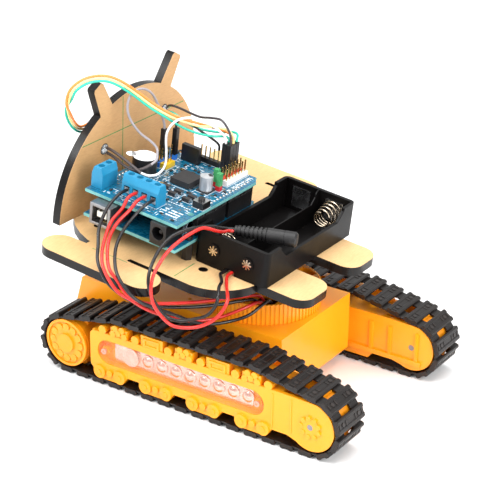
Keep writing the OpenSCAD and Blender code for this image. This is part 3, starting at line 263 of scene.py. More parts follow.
def solder_mask(name, colour):
    """Blue solder mask with faint lighter copper tracks under it."""
    m, nodes, links, shader = new_material(name)
    vector = coords(nodes, links)
    brick = nodes.new("ShaderNodeTexBrick")
    brick.inputs["Scale"].default_value = 120
    brick.inputs["Mortar Size"].default_value = 0.035
    brick.inputs["Color1"].default_value = (*colour, 1)
    brick.inputs["Color2"].default_value = (*shade(colour, 0.86), 1)
    brick.inputs["Mortar"].default_value = (*shade(colour, 1.5), 1)
    links.new(vector, brick.inputs["Vector"])
    patch = noise(nodes, links, vector, 160)
    tone = ramp(nodes, links, patch, [(0.3, (0.8, 0.84, 0.9)), (0.7, (1, 1, 1))])
    links.new(mix(nodes, links, 1.0, brick.outputs["Color"], tone, "MULTIPLY"), shader.inputs["Base Color"])
    links.new(spread(nodes, links, patch, 0.2, 0.34), shader.inputs["Roughness"])
    add_bump(nodes, links, shader, brick.outputs["Fac"], 0.15, 0.1 * MM)
    shader.inputs["Coat Weight"].default_value = 0.3
    return m


MATERIALS["kraft_deck"] = kraft("kraft_film_deck", linear(226, 188, 136), linear(214, 174, 120))
# the upright head's film is the same paper film as the deck's, in a darker copy that paints the shade on the
# head
MATERIALS["kraft_head_shaded"] = kraft("kraft_film_head_shaded", linear(208, 166, 116), linear(194, 150, 100))
MATERIALS["board"] = solder_mask("board_blue", linear(6, 92, 120))
MATERIALS["board_edge"] = surface("board_edge", linear(112, 178, 176), 0.5, 0.15, 300, 1600, 0.08)


# ---------- cords ----------
def between(a, b, c, d, t):
    """A point on the Catmull-Rom curve from b to c."""
    return 0.5 * (2 * b + (c - a) * t + (2 * a - 5 * b + 4 * c - d) * t * t + (3 * b - a - 3 * c + d) * t ** 3)


def smooth(points, steps):
    """The points joined by a smooth curve, with some steps between each two of them."""
    line = []
    for i in range(len(points) - 1):
        before = points[i - 1] if i else 2 * points[0] - points[1]
        after = points[i + 2] if i < len(points) - 2 else 2 * points[i + 1] - points[i]
        line += [between(before, points[i], points[i + 1], after, k / steps) for k in range(steps)]
    return line + [points[-1]]


def tube(name, points, radius, material, steps=6):
    """A round wire along the points: its object, its line and its length."""
    line = smooth(points, steps)
    curve = bpy.data.curves.new(name, "CURVE")
    curve.dimensions = "3D"
    curve.bevel_depth = radius
    curve.bevel_resolution = 3
    curve.use_fill_caps = True
    spline = curve.splines.new("POLY")
    spline.points.add(len(line) - 1)
    for p, q in zip(spline.points, line):
        p.co = (*q, 1)
    spline.use_smooth = True
    obj = bpy.data.objects.new(name, curve)
    obj.data.materials.append(MATERIALS[material])
    SCENE.collection.objects.link(obj)
    length = sum((q - p).length for p, q in zip(line, line[1:]))
    return obj, line, length


TERMINAL_PITCH = 5.08
LEAD_U = 35.36


def lead_in(i):
    """The part of motor lead i that is inside its terminal and just outside it."""
    u = LEAD_U - i * TERMINAL_PITCH
    return [dk(u, 39, 26.1), dk(u, 42, 26.1), dk(u, 48.6, 25.9)]


def route(points):
    return [at(*p) for p in points]


def deck_route(points):
    return [dk(*p) for p in points]


RIBBON = deck_route([
    (76, 31, 40), (75.4, 36, 44.5), (74, 40.5, 50), (73, 43, 54.5), (72, 44.2, 58), (71, 44.5, 61.5),
    (70, 43.8, 65), (68.5, 42, 67.5), (66.8, 39.5, 69.3), (65, 36.5, 70.2), (62.5, 33.5, 70.7),
    (60, 30.5, 70.3), (57.5, 27.8, 69), (55, 25, 67), (52.5, 22.2, 64.5), (49.5, 19.2, 61.5),
    (46.5, 16.5, 58.5), (43.5, 14, 56), (40, 11, 53.4), (36.5, 7.5, 51), (32, 3, 48.8), (27.5, -1, 46.8)])
# the way the ribbon's flat face looks, and its twist in degrees at its first points
RIBBON_FACE = Vector((-0.5, 0.76, 0.42)).normalized()
RIBBON_TURN = [200, 190, 170, 130, 70, 25]
STRAND_GAP = 1.25 * MM


def strand(k, count):
    """One strand of the flat ribbon, k strand widths off its middle."""
    line = []
    for i in range(count):
        along = (RIBBON[min(i + 1, len(RIBBON) - 1)] - RIBBON[max(i - 1, 0)]).normalized()
        side = RIBBON_FACE.cross(along).normalized()
        turn = math.radians(RIBBON_TURN[i] if i < len(RIBBON_TURN) else 0)
        offset = side * math.cos(turn) + along.cross(side) * math.sin(turn)
        line.append(RIBBON[i] + offset * STRAND_GAP * k)
    return line


MOTOR_A = lead_in(0) + route([
    (41, 54.5, 96.8), (40.4, 60, 94.2), (38.8, 67, 88.6), (35.5, 72, 83), (32.5, 76.5, 78.5),
    (29, 78.8, 74.5), (25, 79, 69.5), (20.5, 77, 65), (16.5, 73, 60.5), (13, 66, 56.5), (7, 57, 53.5),
    (0, 47, 51.5), (-7, 38, 51), (-13, 29.5, 51), (-17, 23, 50.5), (-17.5, 20, 47), (-14, 17, 42),
    (-8, 14, 37), (4, 10, 33), (22, 6, 32.5), (40, 5.5, 32.5), (45.5, 4.2, 31.5), (46.8, 3.2, 28.6)])
MOTOR_B = lead_in(1) + route([
    (35.5, 54, 94.5), (36, 61, 91), (34.5, 67.5, 86.5), (32, 73.5, 81.5), (28.5, 77.8, 77),
    (23.5, 80, 72.2), (18, 80, 67), (13.5, 77, 63.5), (9.5, 73, 59), (5.5, 67, 54.5), (1, 59, 50),
    (-3.5, 50, 46.5), (-10, 41, 46.5), (-17, 33, 49.5), (-20.5, 26, 51), (-20.8, 21.5, 49),
    (-19, 18, 43.5), (-12, 14, 38), (-4, 10, 33.5), (8, 6, 31.5), (24, 3.2, 31), (36, 3, 31),
    (38.8, 3.2, 28.6)])
MOTOR_C = lead_in(2) + route([
    (31, 54, 95), (33, 61, 90.5), (32.5, 67.5, 85.5), (29.5, 73, 80.5), (25, 77.5, 76), (20, 78.4, 72),
    (14.4, 79, 67), (9, 74.5, 62.4), (4.5, 65.5, 59.5), (-1.5, 54, 57), (-7.5, 43, 55.5), (-14, 31, 54.2),
    (-18, 21, 52), (-18.6, 16.5, 47), (-16, 13.5, 40), (-10, 9, 35), (4, 3, 32), (22, -2, 31),
    (36, -3.2, 31), (38.8, -3.2, 28.6)])
MOTOR_D = lead_in(3) + route([
    (28, 53, 93.5), (29, 61, 88.5), (28, 68, 83.5), (24.5, 74, 79), (20, 78, 74.5), (14, 79.5, 69.5),
    (9.3, 78, 65), (4.5, 72.5, 60.5), (-0.5, 65, 55.5), (-4.5, 57, 50), (-9, 49, 46), (-15, 40, 45.5),
    (-21, 33, 47.5), (-24, 26, 51), (-24, 20, 50.5), (-22.5, 16, 46), (-18.5, 11.5, 40), (-12, 5, 35),
    (2, -3, 32.5), (22, -7, 32.5), (40, -6, 32.5), (45.5, -4.5, 31.5), (46.8, -3.2, 28.6)])
BATTERY_BLACK = deck_route([
    (-18.9, 33.8, 1.6), (-18.9, 37.5, 1.6), (-19.8, 42, 2.6)]) + route([
    (-16.5, 48.5, 69.8), (-19.5, 55, 70.2), (-22.5, 60, 68.5), (-22.5, 62, 64.5), (-19, 63.5, 59.5),
    (-13, 65, 56.5), (-6.5, 67, 54.5), (-1.5, 69.5, 56), (1.5, 72.5, 61.5), (3, 75.5, 68), (4, 76.3, 74),
    (5, 73.5, 79.5), (5.5, 68, 84.5), (5.5, 63, 87.5), (4.5, 57, 90), (2, 50, 91),
    (-0.5, 43, 90.5)]) + deck_route([
    (-8.6, 35, 20.4), (-8.2, 29.4, 17.6), (-9.6, 24.6, 15.8), (-12.4, 21.8, 15.4)])
BATTERY_RED = deck_route([
    (-21.8, 33.8, 1.6), (-21.8, 37.5, 1.6), (-23.4, 42, 2.2)]) + route([
    (-18.8, 48, 67.6), (-24.5, 55.5, 68.6), (-27.5, 60, 67.5), (-26.5, 62, 63.5), (-23, 64, 58.5),
    (-17, 66, 54.5), (-11, 68.5, 53), (-5, 71, 53.5), (-1, 74, 58.5), (0.5, 77.5, 65.5), (1, 78.3, 72.5),
    (1.3, 76, 78.5), (0.8, 72, 83), (0, 67, 87), (-1.5, 61, 90), (-3, 54, 91.8),
    (-4.5, 46, 92.2)]) + deck_route([
    (-12.4, 37.4, 20.4), (-12.2, 31.4, 17.6), (-11.6, 26.4, 16), (-13.6, 23.4, 15.4)])
ORANGE = deck_route([
    (75.2, 20.9, 40.6), (75.3, 24, 40.5), (75.4, 27.6, 40.3)]) + strand(1, 21) + deck_route([
    (28, -2.2, 48), (22.2, -8.8, 45.2), (18.4, -12.6, 43.2), (16.8, -13.8, 41.2), (16.8, -13.8, 39.6)])
AMBER = deck_route([
    (75.2, 20.9, 38.1), (75.4, 24, 38.2), (75.7, 27.6, 38.7)]) + strand(0, 21) + deck_route([
    (27.6, -0.8, 47.4), (22, -6.6, 47), (17.4, -10.2, 45.6), (14.6, -11.2, 43), (14.2, -11.2, 39.6)])
TEAL = deck_route([
    (75.2, 20.9, 35.6), (75.5, 24, 35.9), (75.9, 27.6, 37)]) + strand(-1, 19) + deck_route([
    (34, 5.4, 47), (28, 0.6, 44.2), (22.6, -5.4, 42.4), (18.6, -10, 42.2), (16.8, -11.2, 41),
    (16.8, -11.2, 39.6)])
TEAL_B = deck_route([
    (62.4, -22.4, 36.4), (60.4, -20.5, 38.2), (56, -18, 40), (51, -16.2, 40.2), (46, -14.4, 40.2),
    (40, -12.6, 40), (34, -12, 40.2), (25, -14.6, 40.8), (19, -16.4, 42.4), (15.2, -15.6, 42.6),
    (14.2, -13.8, 39.6)])
WHITE = deck_route([
    (39.5, 27.5, 28), (37, 24.4, 26.4), (35.4, 19.6, 26), (36.5, 13.5, 26.6), (38, 9.8, 28.6),
    (39, 8.6, 33.4), (39, 9.6, 39), (38, 10.8, 44.2), (35.8, 10.8, 49), (32.6, 9, 52.4),
    (28.6, 5.8, 53.4), (25, 1.6, 52.2), (21.4, -2.8, 49), (18.4, -6.6, 45), (16.9, -8.4, 42),
    (16.8, -8.6, 39.6)])
GREY = deck_route([
    (38.5, 21, 30.5), (37.8, 18, 32.2), (39.4, 15.2, 33.2), (42, 12.6, 35.4), (45, 14, 38.5),
    (49, 17.5, 42.5), (52.5, 20.5, 48.5), (54, 22, 54.5), (54.5, 20.5, 59.5), (54, 17, 62.3),
    (53, 12, 62.3), (51.5, 7.5, 59.5), (50.5, 4, 54.5), (49, 1.4, 48), (47.8, -0.2, 42.5),
    (47.5, -0.5, 39.6)])
SLEEVE_A = deck_route([
    (63.4, 23.6, 31.7), (60, 24.2, 31.8), (53.5, 25.2, 31), (46.5, 26.6, 29.8), (39.5, 27.5, 28)])
SLEEVE_B = deck_route([
    (63.4, 23.4, 29.1), (60, 23.4, 28.6), (55.5, 24.2, 27.9), (51, 25.6, 27.4), (45, 25.8, 27),
    (40.6, 24.4, 28.8), (38.5, 21, 30.5)])
LED_FAR = deck_route([
    (62.4, -22.4, 39), (60, -20.6, 41.6), (56, -18.6, 43.4), (50, -17.4, 44), (43, -15.8, 44.4),
    (36, -13.8, 45.4), (28, -10.6, 48.6), (21, -9.4, 50), (16, -8.8, 46.4), (14.4, -8.6, 43),
    (14.2, -8.6, 39.6)])
BLACK = deck_route([
    (44, -5.5, 39.6), (44.2, -5.5, 42), (42, -6.2, 44), (37.5, -7.6, 43.4), (33, -9.6, 40.6),
    (28, -13, 37), (24.4, -14.2, 34.6), (23.7, -14.15, 31.7)])
# radii of the leads and the sleeves
THICK = 0.8 * MM
THIN = 0.6 * MM
SLEEVE = 0.75 * MM
CORDS = [
    ("motor_wire_a", MOTOR_A, THICK, "wire_black"), ("motor_wire_b", MOTOR_B, THICK, "wire_red"),
    ("motor_wire_c", MOTOR_C, THICK, "wire_red"), ("motor_wire_d", MOTOR_D, THICK, "wire_black"),
    ("battery_black", BATTERY_BLACK, THICK, "wire_black"), ("battery_red", BATTERY_RED, THICK, "wire_red"),
    ("wire_orange", ORANGE, THIN, "wire_orange"), ("wire_yellow", AMBER, THIN, "wire_yellow"),
    ("wire_teal", TEAL, THIN, "wire_teal"), ("wire_teal_b", TEAL_B, THIN, "wire_teal"),
    ("wire_white", WHITE, THIN, "wire_white"), ("wire_grey", GREY, THIN, "wire_grey"),
    ("led_wire_far", LED_FAR, THIN, "wire_dark"), ("wire_black", BLACK, THIN, "wire_black")]
sleeves = [tube(name, points, SLEEVE, "sleeve")[0]
           for name, points in (("sleeve_upper", SLEEVE_A), ("sleeve_lower", SLEEVE_B))]
for sleeve in sleeves:
    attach(sleeve, "chassis")
    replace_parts(sleeve, "led_sleeves")
for name, points, radius, material in CORDS:
    piece, line, length = tube(name + "_cord", points, radius, material)
    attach(piece, "chassis")
    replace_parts(piece, name)


# ---------- dressing CAD pieces ----------
SHIELD_TOP = 23.1
BUZZER_TOP = 32


def weld(mesh):
    bm = bmesh.new()
    bm.from_mesh(mesh)
    bmesh.ops.remove_doubles(bm, verts=bm.verts, dist=1e-6)
    bmesh.ops.dissolve_limit(bm, angle_limit=math.radians(0.6), verts=bm.verts, edges=bm.edges)
    return bm


def lumps(bm):
    """The separate solids of a mesh, as lists of faces."""
    seen, found = set(), []
    for start in bm.faces:
        if start.index in seen:
            continue
        seen.add(start.index)
        stack, part = [start], []
        while stack:
            face = stack.pop()
            part.append(face)
            for edge in face.edges:
                for other in edge.link_faces:
                    if other.index not in seen:
                        seen.add(other.index)
                        stack.append(other)
        found.append(part)
    return found


SHARP = math.radians(35)


def soften(obj, width):
    """Small rounded edges wherever two faces meet at an angle."""
    made = obj.modifiers.new("soften", "BEVEL")
    made.width = width * MM
    made.segments = 2
    made.limit_method = "ANGLE"
    made.harden_normals = True
    return made


def dress(node, keys, choose=None, bevel=0.12):
    """A softened, finely shaded copy of a CAD node, in the materials named by keys. choose gives each face one
    of them, from the middle and size of its solid and its own centre and normal, in the deck's frame."""
    mesh = frame["nodes"][node].data.copy()
    mesh.materials.clear()
    for key in keys:
        mesh.materials.append(MATERIALS[key])
    bm = weld(mesh)
    bm.faces.ensure_lookup_table()
    bm.faces.index_update()
    bm.normal_update()
    for part in lumps(bm):
        corners = [DECK_INVERSE @ v.co / MM for f in part for v in f.verts]
        low = Vector([min(c[k] for c in corners) for k in range(3)])
        high = Vector([max(c[k] for c in corners) for k in range(3)])
        for face in part:
            face.smooth = True
            if choose:
                centre = DECK_INVERSE @ face.calc_center_median() / MM
                normal = DECK_INVERSE.to_3x3() @ face.normal
                face.material_index = keys.index(choose((low + high) / 2, high - low, centre, normal))
    bm.to_mesh(mesh)
    bm.free()
    mesh.set_sharp_from_angle(angle=SHARP)
    obj = bpy.data.objects.new(node + "_fine", mesh)
    SCENE.collection.objects.link(obj)
    if bevel:
        soften(obj, bevel).angle_limit = SHARP
    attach(obj, BODY[node])
    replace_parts(obj, node)


# pieces of one material: nodes, material, width of the rounded edges
PLAIN = [
    (("housing", "cover", "slew_ring", "frame_l", "frame_r"), "yellow", 0.35),
    (("hub_l", "hub_r", "idler_l", "idler_r"), "yellow_wheel", 0.2),
    (("windows",), "window", 0.2),
    (("pins", "shaft_l", "shaft_r"), "steel_dull", 0.05),
    (("lay_l", "lay_r", "pinion_l", "pinion_r"), "white_gear", 0.05),
    (("motors",), "steel_dull", 0.3),
    (("gearbox",), "gearbox", 0.2),
    (("deck_plate", "head_plate"), "black_edge", 0.12),
    # the standoffs are painted black as painted shade under the board, where they don't show
    (("standoffs",), "black_plastic", 0.15),
    (("usb_socket",), "steel_dull", 0.25),
    (("dc_jack",), "black_plastic", 0.3),
    (("terminals",), "terminal", 0.2),
    (("button_cap",), "black_plastic", 0.2),
    (("header_pins",), "gold", 0.06),
    (("battery_holder",), "holder", 0.35),
    (("plug",), "plug", 0.15),
    (("sockets",), "black_plastic", 0.12)]
for group, key, width in PLAIN:
    for node in group:
        dress(node, [key], bevel=width)
LAMP_BACK_V = 52.2  # the tinted faces lie inside this distance from the mid-plane
MAIN_CAN = 6.6  # side of the lower board's two metal cans


def lamp_part(centre, size, face, normal):
    """Each lamp strip's inner face is the tinted back that is seen through the window."""
    return "lamp_back" if max(size) > 20 and abs(face[1]) < LAMP_BACK_V and abs(normal[1]) > 0.5 else "chrome"


def screw_part(centre, size, face, normal):
    """The window's screws are seen through its tint."""
    return "screw_pink" if abs(centre[1]) > 50 else "steel"


# the tall piece is the head's film, which gets the darker copy of the film: painted shade on the head
def film_part(centre, size, face, normal):
    return "kraft_head_shaded" if size[2] > 20 else "kraft_deck"


def board_part(centre, size, face, normal):
    return "board" if abs(normal[2]) > 0.5 else "board_edge"


def main_part(centre, size, face, normal):
    """Square metal cans, low chips and tall header strips."""
    if abs(size[0] - MAIN_CAN) < 0.2 and abs(size[1] - MAIN_CAN) < 0.2:
        return "steel"
    return "chip" if size[2] < 4 else "black_plastic"


def shield_part(centre, size, face, normal):
    """The can, the driver chip and its legs, flat pads and chips, the button, and parts with bright ends."""
    if size[2] > 7:
        return "chip" if face[2] < SHIELD_TOP + 0.82 else "aluminium"
    if size[0] > 10:
        return "solder" if abs(face[0] - centre[0]) > 5.6 else "chip"
    if size[2] < 1:
        return "gold" if centre[0] > 25 else "chip"
    if size[0] > 5:
        return "steel" if normal[2] > 0.9 else "black_plastic"
    return "solder" if abs(normal[0]) > 0.9 else "chip"


def buzzer_part(centre, size, face, normal):
    return "label" if face[2] > BUZZER_TOP - 0.4 else "black_plastic"


def led_part(centre, size, face, normal):
    return "steel" if size[1] < 1 else "led"


def block_colour(centre, size, face, normal):
    """The header blocks' colours, by where each stands on the shield."""
    u, v = centre[0], centre[1]
    if u < 14 and v > 2:
        return "cap_green" if face[2] > SHIELD_TOP + 2.45 else "cap_red"
    if size[2] > 5 or u > 45 or 21 < u < 36:
        return "black_plastic"
    if u > 41.5:
        return "cap_blue"
    if u > 38:
        return "cap_yellow"
    if u < 10:
        return "cap_white"
    if u < 12.5:
        return "cap_red"
    return "black_plastic"


def sensor_part(centre, size, face, normal):
    """The spacer behind the board, the board, and the can, plug and pins in front of it."""
    if face[0] < 72.35:
        return "black_plastic"
    if face[0] > 73.95:
        return "steel" if face[1] < 0 else "gold" if face[0] > 75.05 or face[1] > 4.45 else "black_plastic"
    return "board"


dress("lamps", ["chrome", "lamp_back"], lamp_part, bevel=0.05)
dress("screws", ["steel", "screw_pink"], screw_part, bevel=0.12)
dress("films", ["kraft_deck", "kraft_head_shaded"], film_part, bevel=0)
for node in ("main_board", "shield_board"):
    dress(node, ["board", "board_edge"], board_part, bevel=0.08)
dress("main_parts", ["black_plastic", "steel", "chip"], main_part, bevel=0.15)
dress("shield_parts", ["steel", "chip", "solder", "gold", "black_plastic", "aluminium"], shield_part,
      bevel=0.1)
dress("buzzer", ["black_plastic", "label"], buzzer_part, bevel=0.25)
dress("header_blocks", ["black_plastic", "cap_yellow", "cap_green", "cap_red", "cap_white", "cap_blue"],
      block_colour, bevel=0.12)
dress("leds", ["led", "steel"], led_part, bevel=0)
dress("sensor", ["board", "steel", "black_plastic", "gold"], sensor_part, bevel=0.1)


# ---------- fine details ----------
def add_box(bm, place, low, high):
    made = bmesh.ops.create_cube(bm, size=1)["verts"]
    low, high = Vector(low) * MM, Vector(high) * MM
    bmesh.ops.transform(bm, verts=made, matrix=place @ Matrix.Translation((low + high) / 2)
                        @ Matrix.Diagonal((*(high - low), 1)))


TURNS = {"X": Matrix.Rotation(math.pi / 2, 4, "Y"), "Y": Matrix.Rotation(-math.pi / 2, 4, "X"),
         "Z": Matrix.Identity(4)}


def add_disc(bm, place, centre, radius, height, axis="Z", top=None, sides=28):
    """A disc or cone frustum that starts at centre and rises along the axis."""
    made = bmesh.ops.create_cone(bm, cap_ends=True, segments=sides, radius1=radius * MM,
                                 radius2=(radius if top is None else top) * MM, depth=height * MM)["verts"]
    bmesh.ops.transform(bm, verts=made, matrix=place @ Matrix.Translation(Vector(centre) * MM) @ TURNS[axis]
                        @ Matrix.Translation((0, 0, height * MM / 2)))


def add_strip(bm, place, a, b, width, thick, face="Z"):
    """A thin straight strip from a to b, lying on a plane that faces the given axis."""
    a, b = Vector(a), Vector(b)
    along = b - a
    normal = {"X": Vector((1, 0, 0)), "Y": Vector((0, 1, 0)), "Z": Vector((0, 0, 1))}[face]
    side = normal.cross(along).normalized()
    turn = Matrix((along.normalized(), side, normal)).transposed().to_4x4()
    made = bmesh.ops.create_cube(bm, size=1)["verts"]
    bmesh.ops.transform(bm, verts=made, matrix=place @ Matrix.Translation((a + b) / 2 * MM) @ turn
                        @ Matrix.Diagonal((along.length * MM, width * MM, thick * MM, 1)))


def detail(name, material, slot, build, body="chassis", bevel=0.0, place=DECK):
    bm = bmesh.new()
    build(bm, place)
    mesh = bpy.data.meshes.new(name)
    for face in bm.faces:
        face.smooth = True
    bm.to_mesh(mesh)
    bm.free()
    mesh.set_sharp_from_angle(angle=SHARP)
    mesh.materials.append(MATERIALS[material])
    obj = bpy.data.objects.new(name, mesh)
    SCENE.collection.objects.link(obj)
    if bevel:
        soften(obj, bevel)
    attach(obj, body)
    return obj


# measures in the deck's frame, as in the CAD
BOARD_U, BOARD_V = 0.4, 50.9
HEAD_FILM = 64.83
DECK_FILM = 0.165
PIN_PITCH = 2.54
INK = 0.03
CAN_U, CAN_V, CAN_TOP = 12.4, 11.9, 30.93
BUZZER_U, BUZZER_V = 45.1, 17
# header blocks on the shield: corner u, v and size along u, v
BLOCKS = [(38.9, 0.4, 3.7, 7.4), (42.75, -6.75, 2.5, 15), (46.25, -4.31, 2.5, 7.62), (7, 5.9, 2.5, 2.5),
          (10.6, 3, 2.5, 2.5), (7.6, -16.6, 2.5, 17.8), (10.3, -16.6, 2.5, 17.8), (12.9, -15.1, 5.2, 7.8),
          (22.4, -15.4, 12.7, 2.5)]


# printed frames: opposite corners
FRAMES = [(17, 36.6, 38.9, 44.4), (0.7, 24.1, 7.1, 30.5), (8.7, 8.2, 16.1, 15.6), (16, 4.9, 31.6, 18.6)]
DIODES = [(27, 23.3), (20.4, 27.4), (19.6, 23.6), (12.2, 27.6), (11.6, 23.8)]
# rows of short printed strokes, one for each pin or screw: count, first stroke's ends, step, width
STROKES = [
    (10, (8.9, -16), (9.9, -16), (0, 1.9), 0.4),
    (10, (3.2, -15), (5.6, -15), (0, 1.7), 0.45),
    (4, (20.2, 35.2), (22.4, 35.2), (TERMINAL_PITCH, 0), 0.5),
    (4, (20, 46.6), (22.2, 46.6), (3.4, 0), 0.7),
    (6, (4.9, -14), (4.9, -12), (0, 4.2), 0.5),
    (6, (52.4, -12), (52.4, -10.4), (0, 3.4), 0.5),
    (3, (5, 40), (11.5, 40), (0, 2.4), 0.8),
    (3, (12.8, 40), (15, 40), (0, 2.4), 0.8),
    (9, (5.4, 33.6), (6.4, 33.6), (1.5, 0), 0.5),
    (9, (33, 20.2), (34, 20.2), (1.6, 0), 0.45),
    (9, (33.4, -14), (34.6, -14), (0, 2), 0.45),
    (7, (14.6, 2.4), (16.2, 2.4), (2.6, 0), 0.45),
    (7, (32.6, 23), (34.4, 23), (0, 1.7), 0.5),
    (7, (36, 9.6), (37.6, 9.6), (0, 1.5), 0.45)]


def add_frame(bm, place, u0, v0, u1, v1, w, width=0.25):
    for a, b in (((u0, v0), (u1, v0)), ((u1, v0), (u1, v1)), ((u1, v1), (u0, v1)), ((u0, v1), (u0, v0))):
        add_strip(bm, place, (*a, w), (*b, w), width, INK)


def silkscreen(bm, place):
    w = SHIELD_TOP + INK / 2
    for u, v, du, dv in BLOCKS:
        add_frame(bm, place, u - 0.5, v - 0.5, u + du + 0.5, v + dv + 0.5, w)
    for corners in FRAMES:
        add_frame(bm, place, *corners, w)
    for u, v in DIODES:
        add_frame(bm, place, u - 2.9, v - 1.5, u + 2.9, v + 1.5, w)
        add_strip(bm, place, (u - 3.5, v - 1.2, w), (u - 3.5, v + 1.2, w), 0.35, INK)
    for count, a, b, step, width in STROKES:
        for i in range(count):
            move = Vector((*step, 0)) * i
            add_strip(bm, place, Vector((*a, w)) + move, Vector((*b, w)) + move, width, INK)


# parts of the shield that loose marks and small parts keep clear of: opposite corners
TAKEN = [(u - 1, v - 1, u + du + 1, v + dv + 1) for u, v, du, dv in BLOCKS] + [
    (16, 35, 39.5, 45), (45.4, 34.8, 54, 47.4), (38.6, 10.6, 51.6, 23.4), (15.6, 4.4, 32, 19),
    (8.3, 7.8, 16.5, 16), (0.4, 23.6, 7.4, 31), (16.6, 21.4, 30.4, 29.2), (8.2, 22, 15.6, 29.4),
    (30.4, -10.4, 42, -6.6)]


def scattered(seed, count):
    """Repeatable places on the shield that are clear of its parts."""
    places = random.Random(seed)
    found = []
    while len(found) < count:
        u, v = places.uniform(3.6, 50.4), places.uniform(-15.4, 48.4)
        if not any(a < u < c and b < v < d for a, b, c, d in TAKEN):
            found.append((u, v, places.random()))
    return found


def marks(bm, place):
    w = SHIELD_TOP + INK / 2
    for u, v, turn in scattered(11, 150):
        reach = Vector((0.9, 0, 0)) if turn < 0.6 else Vector((0, 0.9, 0))
        add_strip(bm, place, Vector((u, v, w)) - reach, Vector((u, v, w)) + reach, 0.32, INK)


def small_parts(seed, count, half, height):
    """Scattered flat blocks, 0.6 times as wide as they are long."""
    def build(bm, place):
        for u, v, turn in scattered(seed, count):
            a, b = (half, half * 0.6) if turn < 0.5 else (half * 0.6, half)
            add_box(bm, place, (u - a, v - b, SHIELD_TOP), (u + a, v + b, SHIELD_TOP + height))
    return build


def solder_pads(bm, place):
    """Solder under the header blocks, along the shield's two edge rows, and on its bare vias."""
    for u, v, du, dv in BLOCKS:
        n_u, n_v = max(1, round(du / PIN_PITCH)), max(1, round(dv / PIN_PITCH))
        for i in range(n_u):
            for j in range(n_v):
                centre = (u + (i + 0.5) * du / n_u, v + (j + 0.5) * dv / n_v, SHIELD_TOP - 2.4)
                add_disc(bm, place, centre, 0.85, 0.5, top=0.3, sides=14)
    for u, count in ((2.94, 18), (51.2, 16)):
        for i in range(count):
            add_disc(bm, place, (u, 33 - i * PIN_PITCH, SHIELD_TOP), 0.8, 0.45, top=0.35, sides=14)
    for u, v in ((6.5, 48), (16.5, 48.6), (29, 48.4), (46, 47.6), (48.5, 29), (38, 19), (36.4, 33), (6, 26)):
        add_disc(bm, place, (u, v, SHIELD_TOP), 0.45, 0.06, sides=12)


TERMINAL_U = 37.9


def add_cross(bm, place, centre, reach, degrees, face="Z"):
    """The cross recess of a screw's head: two flat strips that cross at centre, coloured dark as painted shade
    of the recess.
    """
    c, s = reach * math.cos(math.radians(degrees)), reach * math.sin(math.radians(degrees))
    arms = {"Z": ((c, s, 0), (-s, c, 0)), "Y": ((c, 0, s), (-s, 0, c))}[face]
    for arm in arms:
        add_strip(bm, place, Vector(centre) - Vector(arm), Vector(centre) + Vector(arm), 0.36, 0.05, face)


def screw_crosses(bm, place):
    spots = [(TERMINAL_U - (i + 0.5) * TERMINAL_PITCH, 40.4) for i in range(4)]
    spots += [(50.4, 35.7 + (i + 0.5) * 5.4) for i in range(2)]
    for k, (u, v) in enumerate(spots):
        add_cross(bm, place, (u, v, SHIELD_TOP + 8.82), 1.1, 20 + 37 * k)


def clamps(bm, place):
    """Bright clamp plates inside the terminals' wire openings."""
    for i in range(4):
        u = TERMINAL_U - (i + 0.5) * TERMINAL_PITCH
        add_box(bm, place, (u - 1.45, 43, SHIELD_TOP + 1.3), (u + 1.45, 43.25, SHIELD_TOP + 4.3))


# crosses on the window's screws, in the darker lamp_back colour: painted shade of their recesses
def window_crosses(bm, place):
    for side in (1, -1):
        for k, x in enumerate((46.6, -41.6)):
            add_cross(bm, place, (x, side * 56.93, 18.2), 1.05, 15 + 40 * k, "Y")


def guide_lines(bm, place):
    """The thin green lines on the protective film."""
    add_strip(bm, place, (HEAD_FILM, -40, 36.8), (HEAD_FILM, 40.5, 36.8), 0.45, INK, "X")
    add_strip(bm, place, (HEAD_FILM, 6.7, 5), (HEAD_FILM, 11.4, 54.4), 0.45, INK, "X")
    add_strip(bm, place, (-3.2, 55, DECK_FILM), (-2.9, 38.6, DECK_FILM), 0.45, INK)
    add_strip(bm, place, (20, 60, DECK_FILM), (40, 60.6, DECK_FILM), 0.35, INK)


# the belt's outer line, as in the CAD: round both wheels, and over an arch at the top
WHEEL_BASE = 140.8
WHEEL_HALF = WHEEL_BASE / 2
AXLE_Z = 15.6
ARCH_X = 38
ARCH_H = 6.4
LINKS = 38
BELT_R = 14.7
ARCH = math.atan(ARCH_H / (WHEEL_HALF - ARCH_X))
TOP_HALF = ARCH_X + BELT_R * math.tan(ARCH / 2)
ARC_LENGTH = BELT_R * (math.pi - ARCH)
SLOPE = math.hypot(WHEEL_HALF + BELT_R * math.sin(ARCH) - TOP_HALF, BELT_R * (math.cos(ARCH) - 1) - ARCH_H)
BELT_LENGTH = WHEEL_BASE + 2 * ARC_LENGTH + 2 * SLOPE + 2 * TOP_HALF
LINK_PITCH = BELT_LENGTH / LINKS
LINK_START = 2.4
TRACK_Y = 46


